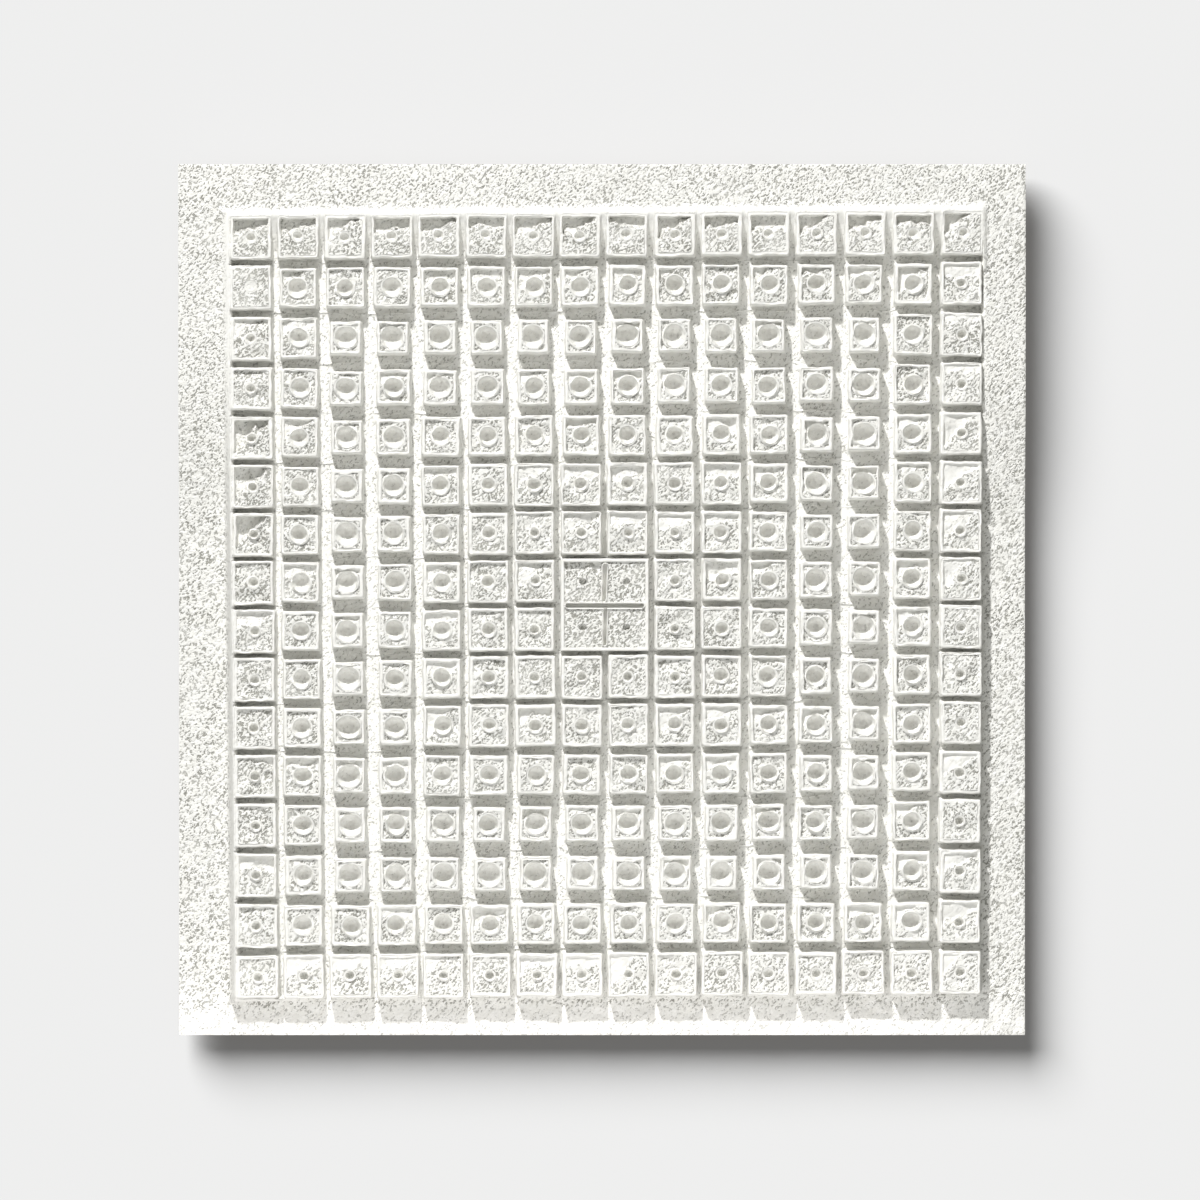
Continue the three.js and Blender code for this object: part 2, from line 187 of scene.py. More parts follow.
def newMesh(name, points, faces, sand=None):
    mesh = bpy.data.meshes.new(name)
    mesh.from_pydata(points.tolist(), [], faces)
    mesh.polygons.foreach_set("use_smooth", np.ones(len(mesh.polygons), bool))
    if sand is not None:
        attribute = mesh.attributes.new("sand", "FLOAT", "POINT")
        attribute.data.foreach_set("value", sand.astype(np.float32))
    mesh.update()
    return linked(name, mesh)


def facePoints(x, z, height):
    return np.stack([x, groundY - np.minimum(height, blockTop), z], axis=-1)


def quadsOfGrid(ids):
    # ids holds the vertex numbers of a grid; each square of four neighbours is one face
    corners = [ids[:-1, :-1], ids[:-1, 1:], ids[1:, 1:], ids[1:, :-1]]
    return np.stack(corners, axis=-1).reshape(-1, 4)


def rimOfGrid(ids):
    # the vertex numbers round a grid, along its first row first
    return np.concatenate([ids[0, :-1], ids[:-1, -1], ids[-1, :0:-1], ids[:0:-1, 0]])


def polar(radius, count):
    # the two coordinates of a circle's points, or of several circles' when the radius is a column
    angle = np.linspace(0, 2 * math.pi, count + 1)[:-1]
    return radius * np.cos(angle), radius * np.sin(angle)


def middleOf(low, high):
    return (low.x + high.x) / 2, (low.y + high.y) / 2, (low.z + high.z) / 2


def closeBehind(points, sand, faces, rim):
    # Closes a face sheet: a wall from its rim straight back to the board, and one flat back.
    # The rim runs clockwise seen from the front.
    count, base = len(rim), len(points)
    behind = points[rim].copy()
    behind[:, 1] = plasterBackY
    k = np.arange(count)
    after = (k + 1) % count
    walls = np.stack([rim, rim[after], base + after, base + k], axis=-1)
    faces = faces + walls.tolist() + [(base + k).tolist()]
    return np.concatenate([points, behind]), np.concatenate([sand, np.full(count, 0.3)]), faces


def finishPiece(piece, body, nodes, material, sharpAngle=55):
    piece.data.materials.clear()
    piece.data.materials.append(material)
    piece.data.set_sharp_from_angle(angle=math.radians(sharpAngle))
    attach(piece, body)
    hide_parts(*nodes)


# Shader nodes, and the groups that several materials share.

def feed(socket, value):
    # a link from another socket, a colour without its alpha, or a number
    if isinstance(value, bpy.types.NodeSocket):
        socket.id_data.links.new(value, socket)
    elif socket.type == "RGBA":
        socket.default_value = (*value, 1)
    else:
        socket.default_value = value


def fill(node, **values):
    # feeds a node's inputs by name, with underscores for spaces
    for name, value in values.items():
        feed(node.inputs[name.replace("_", " ")], value)
    return node


def newNode(tree, kind, **values):
    return fill(tree.nodes.new("ShaderNode" + kind), **values)


def mathNode(operation, first, second=0):
    node = first.id_data.nodes.new("ShaderNodeMath")
    node.operation = operation
    feed(node.inputs[0], first)
    feed(node.inputs[1], second)
    return node.outputs[0]


def times(first, second):
    return mathNode("MULTIPLY", first, second)


def plus(first, second):
    return mathNode("ADD", first, second)


def minus(first, second):
    return mathNode("SUBTRACT", first, second)


def rangeNode(value, fromLow, fromHigh, toLow=0.0, toHigh=1.0):
    node = newNode(value.id_data, "MapRange", Value=value, From_Min=fromLow, From_Max=fromHigh,
                   To_Min=toLow, To_Max=toHigh)
    node.interpolation_type = "SMOOTHSTEP"
    return node.outputs["Result"]


def noiseNode(vector, scale, detail=2.0, roughness=0.5, distortion=0.0):
    node = newNode(vector.id_data, "TexNoise", Vector=vector, Scale=scale, Detail=detail,
                   Roughness=roughness, Distortion=distortion)
    return node.outputs["Fac"]


def mapped(vector, rotation=(0, 0, 0), scale=(1, 1, 1), kind="POINT"):
    # POINT scales the vector first and then turns it, TEXTURE turns it first and then stretches it
    node = newNode(vector.id_data, "Mapping", Vector=vector, Scale=scale,
                   Rotation=[math.radians(a) for a in rotation])
    node.vector_type = kind
    return node.outputs["Vector"]


def mixColors(share, first, second):
    node = share.id_data.nodes.new("ShaderNodeMix")
    node.data_type = "RGBA"
    sockets = {socket.name: socket for socket in node.inputs if socket.enabled}
    for name, value in [("Factor", share), ("A", first), ("B", second)]:
        feed(sockets[name], value)
    return [socket for socket in node.outputs if socket.enabled][0]


def mixShaders(share, first, second):
    node = share.id_data.nodes.new("ShaderNodeMixShader")
    for socket, value in zip(node.inputs, [share, first, second]):
        feed(socket, value)
    return node.outputs["Shader"]


def bumpNode(height, distance, **under):
    node = newNode(height.id_data, "Bump", Strength=1.0, Distance=distance, Height=height, **under)
    return node.outputs["Normal"]


def partsOf(vector):
    return newNode(vector.id_data, "SeparateXYZ", Vector=vector).outputs


def newGroup(name, numbers, results):
    # A group that takes a vector and some numbers, and gives numbers.
    group = bpy.data.node_groups.new(name, "ShaderNodeTree")
    group.interface.new_socket("Vector", in_out="INPUT", socket_type="NodeSocketVector")
    for socketName, value in numbers.items():
        socket = group.interface.new_socket(socketName, in_out="INPUT", socket_type="NodeSocketFloat")
        socket.default_value = value
    for socketName in results:
        group.interface.new_socket(socketName, in_out="OUTPUT", socket_type="NodeSocketFloat")
    return group, group.nodes.new("NodeGroupInput").outputs, group.nodes.new("NodeGroupOutput")


def useGroup(group, vector, **values):
    node = vector.id_data.nodes.new("ShaderNodeGroup")
    node.node_tree = group
    return fill(node, Vector=vector, **values).outputs


def makeSandGrain():
    # Sand in plaster: grains of about one size, a little longer one way, with pits between them, and a
    # finer grit. Height rises on the grains, and the second output is 1 in the deepest gaps, where the
    # material lays a dark colour: painted shade, standing for the pits' small shadows. Sand fades both
    # below 1, and makes the pits denser above it.
    numbers = {"Grains per Metre": 400.0, "Sand": 1.0}
    group, given, result = newGroup("sandGrain", numbers, ["Height", "Pits"])
    scale, sand = given["Grains per Metre"], given["Sand"]
    leaning = mapped(given["Vector"], (0, -50, 0), (1.6, 1, 1), "TEXTURE")
    coarse = noiseNode(leaning, scale, 1.0, 0.6)
    fine = noiseNode(leaning, times(scale, 2.1), 0.0)
    patches = noiseNode(given["Vector"], 55.0)
    grains = plus(times(coarse, 0.72), times(fine, 0.28))
    uneven = times(rangeNode(patches, 0.3, 0.65, 0.6, 1.0), mathNode("MINIMUM", sand, 1.0))
    denser = times(minus(sand, 1.0), 0.09)
    pits = rangeNode(minus(grains, denser), 0.445, 0.405)
    sunk = minus(grains, times(pits, 0.42))
    fill(result, Height=times(sunk, uneven), Pits=times(pits, uneven))
    return group


def makeTrowelMarks():
    # Long shallow strokes that all run one way, from the lower left to the upper right.
    group, given, result = newGroup("trowelMarks", {"Strokes per Metre": 260.0}, ["Height", "Tone"])
    turned = mapped(given["Vector"], (0, -48, 0), (5.0, 1, 1), "TEXTURE")
    strokes = noiseNode(turned, given["Strokes per Metre"], 3.0, 0.6)
    fill(result, Height=strokes, Tone=rangeNode(strokes, 0.3, 0.7))
    return group


def newMaterial(name):
    material = bpy.data.materials.new(name)
    material.use_nodes = True
    tree = material.node_tree
    tree.nodes.clear()
    shader = newNode(tree, "BsdfPrincipled")
    newNode(tree, "OutputMaterial", Surface=shader.outputs["BSDF"])
    return material, shader, newNode(tree, "TexCoord").outputs["Object"]


sandGrain = makeSandGrain()
trowelMarks = makeTrowelMarks()

plasterLook = {
    "white": (0.90, 0.897, 0.875),
    # the pits' dark colour is painted shade, standing for the small shadows between sand grains
    "pitShade": (0.38, 0.375, 0.34),
    "stroke": (0.80, 0.79, 0.74),
    "strokeShare": 0.5,
    "roughness": 0.93,
    "grainDepth": 2.4 * mm,
    "strokeDepth": 0.8 * mm,
    "grainsPerMetre": 480.0,
}


def makePlaster(name, look):
    material, shader, coordinates = newMaterial(name)
    # the sand attribute sets both the grain's height and how much painted pit shade shows; it is lower on
    # block sides, groove ground and hollows
    sand = newNode(coordinates.id_data, "Attribute")
    sand.attribute_name = "sand"
    grain = useGroup(sandGrain, coordinates, Sand=sand.outputs["Fac"],
                     Grains_per_Metre=look["grainsPerMetre"])
    marks = useGroup(trowelMarks, coordinates)
    toned = mixColors(times(marks["Tone"], look["strokeShare"]), look["white"], look["stroke"])
    stroked = bumpNode(marks["Height"], look["strokeDepth"])
    # the base colour darkens in the sand's pits: painted shade of their small shadows
    fill(shader, Base_Color=mixColors(grain["Pits"], toned, look["pitShade"]), Roughness=look["roughness"],
         Specular_IOR_Level=0.2, Normal=bumpNode(grain["Height"], look["grainDepth"], Normal=stroked))
    return material


plaster = makePlaster("sandPlaster", plasterLook)
print("materials for the plaster are ready")


# The rows of blocks.

blocks = {
    "grooves": [6.5, 10, 16, 14.5, 10, 7.5, 7, 7.5],       # mm round the blocks of each ring, outside in
    "sockets": [9, 17, 21, 19, 16.5, 12.5, 9, 6],          # mm across their sockets
    "depths": [9, 13, 15, 14, 12.5, 10.5, 8.5, 6],         # and mm deep
    "draft": 1.2 * mm,
    "rim": 2.5 * mm,
    "recess": 2.8 * mm,
    "collar": 1.6 * mm,
    "cornerRadius": 1.5 * mm,
    "wobble": 0.45 * mm,
    "seamWander": 2.0 * mm,
    "seamRidge": 1.6 * mm,
    "sliceStep": 31 * mm,      # each line between rows has its own slice of the noise, this far apart
    "shift": 0.5 * mm,         # how far a block may stand from its place, either way
    "sizeError": 0.45 * mm,
    "turnError": 0.9,          # degrees
    "socketShift": 0.8 * mm,
    "socketError": 0.06,       # a share of its radius, and of its depth
    "topDrop": 0.35 * mm,
    "perSide": 20,             # points along each side of a block
    "bowlLoops": [0.2, 0.42, 0.6, 0.74, 0.85, 0.93, 0.98],               # shares of the socket's radius
    "floorLoops": [0, 0.1, 0.21, 0.33, 0.45, 0.57, 0.69, 0.8, 0.9, 1.0],  # from the collar to the rim
    "seed": 5,
}


def loopDirections(perSide):
    # Four sides of perSide steps, clockwise from the top left: the points of a square and of a circle.
    k = np.arange(4 * perSide)
    side, s = k // perSide, (k % perSide) * 2 / perSide - 1
    a = s * math.pi / 4
    squareX = np.choose(side, [s, 1, -s, -1])
    squareZ = np.choose(side, [1, -s, -1, s])
    circleX = np.choose(side, [np.sin(a), np.cos(a), -np.sin(a), -np.cos(a)])
    circleZ = np.choose(side, [np.cos(a), -np.sin(a), -np.cos(a), np.sin(a)])
    return squareX, squareZ, circleX, circleZ


def roundedSquare(squareX, squareZ, halfX, halfZ, radius):
    # Each point is drawn in to the square less its corner radius, then stands one radius out again.
    x, z = squareX * halfX, squareZ * halfZ
    coreX = np.clip(x, radius - halfX, halfX - radius)
    coreZ = np.clip(z, radius - halfZ, halfZ - radius)
    away = np.hypot(x - coreX, z - coreZ)
    return coreX + (x - coreX) / away * radius, coreZ + (z - coreZ) / away * radius


def cellTable():
    # One value for each of the 256 cells, as columns that broadcast against the loop points.
    rng = np.random.default_rng(blocks["seed"])
    shape = (rowCount, columnCount)
    row, column = np.indices(shape)
    ring = np.minimum(np.minimum(row, rowCount - 1 - row), np.minimum(column, columnCount - 1 - column))
    pitchX, pitchZ = fieldWidth / columnCount, fieldHeight / rowCount
    groove = np.array(blocks["grooves"])[ring] * mm
    x, z = fieldPoint((column + 0.5) / columnCount, (row + 0.5) / rowCount)

    def spread(amount):
        return rng.uniform(-amount, amount, shape)

    cell = {
        "row": row, "column": column,
        "x": x + spread(blocks["shift"]), "z": z + spread(blocks["shift"]),
        "halfX": (pitchX - groove) / 2 + spread(blocks["sizeError"]),
        "halfZ": (pitchZ - groove) / 2 + spread(blocks["sizeError"]),
        "turn": spread(math.radians(blocks["turnError"])),
        "socket": np.array(blocks["sockets"])[ring] * mm / 2 * (1 + spread(blocks["socketError"])),
        "depth": np.array(blocks["depths"])[ring] * mm * (1 + spread(blocks["socketError"])),
        "socketX": spread(blocks["socketShift"]), "socketZ": spread(blocks["socketShift"]),
        "oval": rng.uniform(0, 0.05, shape), "ovalTurn": rng.uniform(0, math.pi, shape),
        "bowl": rng.uniform(1.8, 3.6, shape),
        "rim": blocks["rim"] * rng.uniform(0.7, 1.3, shape),
        "top": blockTop + spread(blocks["topDrop"]) - blocks["topDrop"],
        "recess": blocks["recess"] * rng.uniform(0.65, 1.25, shape),
        "hollow": np.where(rng.random(shape) < 0.42, rng.uniform(1.0, 3.6, shape), 0) * mm,
        "hollowEdge": rng.uniform(0.2, 0.8, shape),
        "hollowTurn": rng.uniform(-0.15, 0.75, shape),
        "hollowRun": np.full(shape, 1.8 * mm),
        "dent": np.where(rng.random(shape) < np.where(row > 13, 0.35, 0.08), 2.2 * mm, 0),
        "dentX": spread(0.55), "dentZ": spread(0.55),
        "phase": rng.uniform(0, 400, shape),
        "sand": 1.55 - 0.5 * (row + column) / 30 + spread(0.15),     # sandier towards the head
    }

    def change(name, where, value):
        cell[name] = np.where(where, value, cell[name])

    headRow = row == 0
    torn = (column == 0) & (row > 3) & (row < 7)     # these are torn open on their left
    second = (row == 1) & (rng.random(shape) < 0.75)
    change("hollow", second, rng.uniform(2.5, 4.5, shape) * mm)
    change("hollow", headRow | torn, rng.uniform(8.0, 10.5, shape) * mm)
    change("hollowEdge", headRow, rng.uniform(0.28, 0.62, shape))
    change("hollowEdge", torn, 0.15)
    change("hollowTurn", torn, 0.8)
    change("hollowRun", headRow | torn, 4.0 * mm)
    change("recess", headRow, 1.0 * mm)
    change("depth", headRow, cell["depth"] * 0.75)
    change("top", headRow | (column == 0), blockTop - 0.12 * mm)
    shallow = (row == rowCount - 1) | (column == columnCount - 1)
    change("recess", shallow, cell["recess"] * 0.6)
    change("hollow", shallow & ~headRow, cell["hollow"] * 0.4)
    filled = (row == 1) & (column == 0)              # one block is filled to the brim
    change("recess", filled, 0.25 * mm)
    change("hollow", filled, 0)
    change("depth", filled, 0.8 * mm)
    underTile = ring == ring.max()                   # plain ground under the middle tile
    change("top", underTile, 0.1 * mm)
    for name in ["recess", "hollow", "depth", "dent"]:
        change(name, underTile, 0)
    return {name: value.reshape(-1, 1) for name, value in cell.items()}


def cellLoops():
    # Every cell is a stack of closed loops, from the middle of its socket out to the cell's own edge:
    # circles for the socket and its collar, loops that pass from circle to square for the sandy floor,
    # rounded squares for the rim and the walls, and loops that pass on to the straight cell edge.
    cell = cellTable()
    squareX, squareZ, circleX, circleZ = loopDirections(blocks["perSide"])
    angle = np.arctan2(circleZ, circleX)
    halfX, halfZ, top = cell["halfX"], cell["halfZ"], cell["top"]
    innerX, innerZ = halfX - cell["rim"], halfZ - cell["rim"]
    leanX, leanZ = -np.sin(cell["hollowTurn"]), np.cos(cell["hollowTurn"])
    isOpen = cell["recess"] > 0
    xs, zs, heights, sands = [], [], [], []

    def circle(radius, cap=0.9):
        uneven = radius * (1 + cell["oval"] * np.cos(2 * angle + cell["ovalTurn"]))
        x = cell["socketX"] + circleX * uneven
        z = cell["socketZ"] + circleZ * uneven
        return np.clip(x, -cap * innerX, cap * innerX), np.clip(z, -cap * innerZ, cap * innerZ)

    def toPanel(x, z):
        # turned about the cell's middle, and wavering a little as cut plaster does
        c, s = np.cos(cell["turn"]), np.sin(cell["turn"])
        px, pz = cell["x"] + c * x - s * z, cell["z"] + s * x + c * z
        reach = smoothStep(np.maximum(abs(x) / innerX, abs(z) / innerZ) * 3 - 2)
        waver = blocks["wobble"] * reach
        dx = softNoise(px, pz, 9 * mm, 21) + 0.7 * softNoise(px, pz, 3.6 * mm, 27)
        dz = softNoise(px, pz, 9 * mm, 22) + 0.7 * softNoise(px, pz, 3.6 * mm, 28)
        return px + waver * dx, pz + waver * dz

    def hollowShare(x, z, px, pz):
        # 1 in the deeper part of a recess, towards the head or the head's left, behind a ragged edge
        edge = np.minimum(innerX, innerZ) * cell["hollowEdge"]
        edge = edge + 3.8 * mm * softNoise(px + cell["phase"] * mm, pz * 0, 8 * mm, 23)
        edge = edge + 1.7 * mm * softNoise(px, pz, 2.6 * mm, 24)
        share = smoothStep((x * leanX + z * leanZ - edge) / cell["hollowRun"] + 0.5)
        return share * (cell["hollow"] > 0)

    def floorDepth(x, z, px, pz):
        # an uneven recess, the hollow in it, and a small dent in a few of them
        heaped = np.maximum(0.75 + 0.75 * softNoise(px, pz, 12 * mm, 29), 0.12)
        hollow = cell["hollow"] * hollowShare(x, z, px, pz)
        grit = 0.42 * mm * softNoise(px, pz, 2.7 * mm, 25) + 0.30 * mm * softNoise(px, pz, 6 * mm, 26)
        dent = np.hypot(x - cell["dentX"] * innerX, z - cell["dentZ"] * innerZ)
        dent = cell["dent"] * smoothStep(1.5 - dent / (2.0 * mm))
        return np.maximum(cell["recess"] * heaped + hollow + dent + grit * isOpen, 0)

    def add(x, z, height, sand, placed=False):
        px, pz = (x, z) if placed else toPanel(x, z)
        full = np.zeros((rowCount * columnCount, len(squareX)))
        level = height(x, z, px, pz) if callable(height) else height
        sand = sand(x, z, px, pz) if callable(sand) else sand
        xs.append(px + full)
        zs.append(pz + full)
        heights.append(level + full)
        sands.append(sand + full)

    def bowlFloor(x, z, px, pz):
        bowl = top - depth * (1 - share ** cell["bowl"])
        return bowl + 0.5 * mm * softNoise(px, pz, 3.2 * mm, 35)

    radius, depth = cell["socket"], cell["depth"]
    for share in blocks["bowlLoops"]:
        add(*circle(radius * share), bowlFloor, 0.35)

    def collarTop(x, z, px, pz):
        return top - np.maximum(floorDepth(x, z, px, pz) - blocks["collar"], 0.1 * mm)

    def collarFoot(*place):
        return np.minimum(collarTop(*place) - 0.45 * mm, top - depth * 0.05)

    def collarBack(*place):
        return collarTop(*place) - 0.15 * mm

    add(*circle(radius, 0.93), collarFoot, 0.15)
    add(*circle(radius + 0.5 * mm, 0.94), collarTop, 0.08)
    add(*circle(radius + 1.2 * mm, 0.955), collarBack, 0.08)
    footX, footZ = circle(radius + 1.9 * mm, 0.97)
    corner, rim = blocks["cornerRadius"], cell["rim"]
    recessX, recessZ = roundedSquare(squareX, squareZ, innerX * 0.985, innerZ * 0.985, corner * 0.6)
    ragged = 1 - 0.03 * (1 + softNoise(cell["x"] + recessX, cell["z"] + recessZ, 4 * mm, 36))
    recessX, recessZ = recessX * ragged, recessZ * ragged
    room = smoothStep(np.hypot(recessX - footX, recessZ - footZ) / (2.2 * mm))

    def sandyFloor(*place):
        return top - floorDepth(*place) * room

    # less sand in a recess's hollow, which lies in the rim's shadow: the grain and its painted pit shade
    # fade there
    def sandOnFloor(*place):
        return cell["sand"] - 0.9 * hollowShare(*place)

    for share in blocks["floorLoops"]:
        x, z = mix(footX, recessX, share), mix(footZ, recessZ, share)
        add(x, z, sandyFloor, sandOnFloor)

    def square(inset, radius):
        return roundedSquare(squareX, squareZ, halfX - inset, halfZ - inset, radius)

    def underRim(*place):
        return top - 0.3 * floorDepth(*place) * room

    def rimTop(x, z, px, pz):
        worn = smoothStep((softNoise(px, pz, 11 * mm, 34) - 0.3) / 0.35)
        return top - drop + (0.12 * mm * softNoise(px, pz, 3 * mm, 30) - 0.8 * mm * worn)

    def wall(x, z, px, pz):
        return mix(top, groundHeight(px, pz)[0], share)

    add(*square(rim, corner * 0.6), underRim, 0.3)
    for inset, rounding, drop, sand in [(rim - 0.5 * mm, 0.7, 0.1 * mm, 0.1), (1.1 * mm, 0.9, 0, 0.08)]:
        add(*square(inset, corner * rounding), rimTop, sand)
    add(*square(0.35 * mm, corner), top - 0.25 * mm * isOpen, 0.08)
    for inset, share in [(0, 0.06), (-0.5 * blocks["draft"], 0.55), (-blocks["draft"], 0.95)]:
        add(*square(inset, corner + 0.2 * mm), wall, 0.35)

    skirtX, skirtZ = toPanel(*square(-blocks["draft"] - 0.7 * mm, corner + 0.5 * mm))
    edgeX, edgeZ = fieldPoint((cell["column"] + (squareX + 1) / 2) / columnCount,
                              (cell["row"] + (1 - squareZ) / 2) / rowCount)
    edgeZ = edgeZ + seamWander(edgeX, cell["row"], squareZ)
    ridge = seamRidge(edgeX, cell["row"], squareZ)
    for share, rise in [(0, 0), (0.35, 0), (0.68, 0), (0.88, 0.15), (1.0, 1.0)]:
        x, z = mix(skirtX, edgeX, share), mix(skirtZ, edgeZ, share)
        level, lip = groundHeight(x, z)
        add(x, z, level + rise * ridge * (1 - lip), 0.7 * (1 - lip), placed=True)
    return [np.stack(part, axis=1) for part in (xs, zs, heights, sands)]


def seamWander(x, row, squareZ):
    # Each row is cast up to the last, along a line that wanders; the outermost lines stay straight.
    amount = np.zeros(np.broadcast(x, row, squareZ).shape)
    for line, share in [(row, (1 + squareZ) / 2), (row + 1, (1 - squareZ) / 2)]:
        inner = (line > 0) & (line < rowCount)
        level = line * blocks["sliceStep"] - 0.25
        wave = 0.8 * softNoise(x, level, 26 * mm, 31) + 0.7 * softNoise(x, level, 8 * mm, 32)
        amount = amount + share * inner * wave
    return blocks["seamWander"] * amount


def seamRidge(x, row, squareZ):
    # a thin raised line where two rows meet, which comes and goes
    line = row + (squareZ == -1)
    inner = (abs(squareZ) == 1) & (line > 0) & (line < rowCount)
    wave = softNoise(x, line * blocks["sliceStep"] - 0.25, 18 * mm, 33)
    return blocks["seamRidge"] * inner * np.maximum(0.3 + 0.9 * wave, 0)


def makeRows():
    x, z, height, sand = cellLoops()
    loops, count = x.shape[1:]
    perSide = blocks["perSide"]
    points = facePoints(x, z, height)
    for row, name in enumerate(rowNames):
        pick = slice(row * columnCount, (row + 1) * columnCount)
        rowPoints = points[pick].reshape(-1, 3)
        rowSand = sand[pick].reshape(-1)
        ids = np.arange(columnCount * loops * count).reshape(columnCount, loops, count)
        # neighbours in a row share the points of the edge between them
        right, left = ids[:-1, -1, perSide:2 * perSide + 1], ids[1:, -1]
        leftEdge = np.concatenate([left[:, :1], left[:, :3 * perSide - 1:-1]], axis=1)
        same = np.arange(len(rowPoints))
        same[leftEdge.ravel()] = right.ravel()
        wrapped = np.concatenate([ids, ids[:, :, :1]], axis=2)
        faces = np.concatenate([quadsOfGrid(wrapped[c]) for c in range(columnCount)])
        caps = ids[:, 0, ::-1]
        rim = np.concatenate([ids[:, -1, :perSide].ravel(), ids[-1, -1, perSide:2 * perSide],
                              ids[::-1, -1, 2 * perSide:3 * perSide].ravel(), ids[0, -1, 3 * perSide:]])
        kept, renumber = np.unique(same, return_inverse=True)
        number = renumber.ravel()
        faceList = number[faces].tolist() + number[caps].tolist()
        sheet, sheetSand, faceList = closeBehind(rowPoints[kept], rowSand[kept], faceList, number[rim])
        piece = newMesh("plaster_row_%02d" % (row + 1), sheet, faceList, sheetSand)
        finishPiece(piece, "panel", [name], plaster)
    print("rows of blocks:", rowCount, "with", count * loops * columnCount, "points each")


makeRows()


# The middle tile.

tile = {
    "step": 0.62 * mm,
    "slotWidth": 4.0 * mm,
    "slotDepth": 10.0 * mm,
    "slotMargin": 6.0 * mm,
    "bridge": 3.0 * mm,
    "rim": 2.6 * mm,
    "recess": 2.0 * mm,
    "lip": 1.3 * mm,
    "socket": 3.0 * mm,
    "socketDepth": 6.0 * mm,
}


def makeTile():
    # A height over a fine square grid: the rim, less a sandy recess, less sockets and slots. Each cut
    # is a smooth step of the distance to its outline, and the slots' outlines are capsules.
    halfX, halfZ = (tileHigh.x - tileLow.x) / 2 - 1.2 * mm, (tileHigh.z - tileLow.z) / 2 - 1.2 * mm
    middleX, middleZ = fieldPoint(0.5, 0.5)
    us = np.linspace(-halfX, halfX, int(2 * halfX / tile["step"]) + 1)
    vs = np.linspace(halfZ, -halfZ, int(2 * halfZ / tile["step"]) + 1)
    u, v = np.meshgrid(us, vs)
    x, z = middleX + u, middleZ + v

    def sloped(distance, width):
        # 1 inside an outline and 0 outside, over a width
        return smoothStep(0.5 - distance / width)

    def capsule(u0, v0, u1, v1, radius):
        du, dv = u1 - u0, v1 - v0
        share = np.clip(((u - u0) * du + (v - v0) * dv) / (du * du + dv * dv), 0, 1)
        return np.hypot(u - u0 - share * du, v - v0 - share * dv) - radius

    reachX, reachZ = halfX - tile["slotMargin"], halfZ - tile["slotMargin"]
    slotRadius = tile["slotWidth"] / 2
    start = slotRadius + tile["bridge"]
    level = -0.8 * mm
    slots = np.minimum(capsule(-reachX, level, reachX, level, slotRadius),
                       capsule(-0.6 * mm, start, 0.4 * mm, reachZ, slotRadius * 0.85))
    slots = np.minimum(slots, capsule(0.6 * mm, -start, 0, -reachZ, slotRadius * 0.75))
    inside = np.maximum(abs(u) - (halfX - tile["rim"]), abs(v) - (halfZ - tile["rim"]))
    lips = np.maximum(inside, tile["lip"] - slots)
    grit = 0.25 * mm * softNoise(x, z, 2.6 * mm, 41) + 0.2 * mm * softNoise(x, z, 6 * mm, 42)
    hollowEdge = halfZ * (0.62 + 0.3 * softNoise(x, z * 0, 14 * mm, 43))
    hollowEdge = hollowEdge + 1.5 * mm * softNoise(x, z, 3 * mm, 44)
    hollow = 3.4 * mm * smoothStep((v - hollowEdge) / (3 * mm)) * smoothStep((-u + 4 * mm) / (12 * mm))
    floorShare = sloped(lips, 1.0 * mm)
    height = blockTop - 0.4 * mm - floorShare * (tile["recess"] + grit + hollow)
    quarterX, quarterZ = halfX / 2, halfZ / 2
    sockets = np.full(u.shape, 1.0)
    for signU, signV in [(-1, 1), (1, 1), (-1, -1), (1, -1)]:
        sockets = np.minimum(sockets, np.hypot(u - signU * quarterX, v - signV * quarterZ) - tile["socket"])
    height -= (tile["socketDepth"] - tile["recess"]) * sloped(sockets, 0.8 * mm)
    height = mix(height, blockTop - tile["slotDepth"], sloped(slots, 0.8 * mm))
    sand = 1.5 * floorShare * (1 - sloped(slots - 0.6 * mm, mm))
    # the outer walls: the grid's edge drops over three more lines, each a little further out
    spread = [(0.25, 0.35), (0.6, 1.4), (1.2, 17.0)]
    ids = np.arange(u.size).reshape(u.shape)
    rim = rimOfGrid(ids)
    points = facePoints(x, z, height).reshape(-1, 3)
    sands = sand.ravel()
    faces = quadsOfGrid(ids)[:, ::-1].tolist()
    edge, previous = points[rim], rim
    outU, outV = u.ravel()[rim] / halfX, v.ravel()[rim] / halfZ
    for out, drop in spread:
        ring = edge.copy()
        ring[:, 0] += np.where(abs(outU) > 0.999, np.sign(outU), 0) * out * mm
        ring[:, 2] += np.where(abs(outV) > 0.999, np.sign(outV), 0) * out * mm
        ring[:, 1] += drop * mm
        number = len(points) + np.arange(len(rim))
        after = np.roll(number, -1)
        faces += np.stack([previous, np.roll(previous, -1), after, number], axis=-1).tolist()
        points, previous = np.concatenate([points, ring]), number
        sands = np.concatenate([sands, np.full(len(rim), 0.3)])
    faces.append(previous.tolist())
    piece = newMesh("plaster_middle_tile", points, faces, sands)
    finishPiece(piece, "panel", ["centre_tile"], plaster)
    print("middle tile:", len(points), "points")


makeTile()


# The four strips of the border.

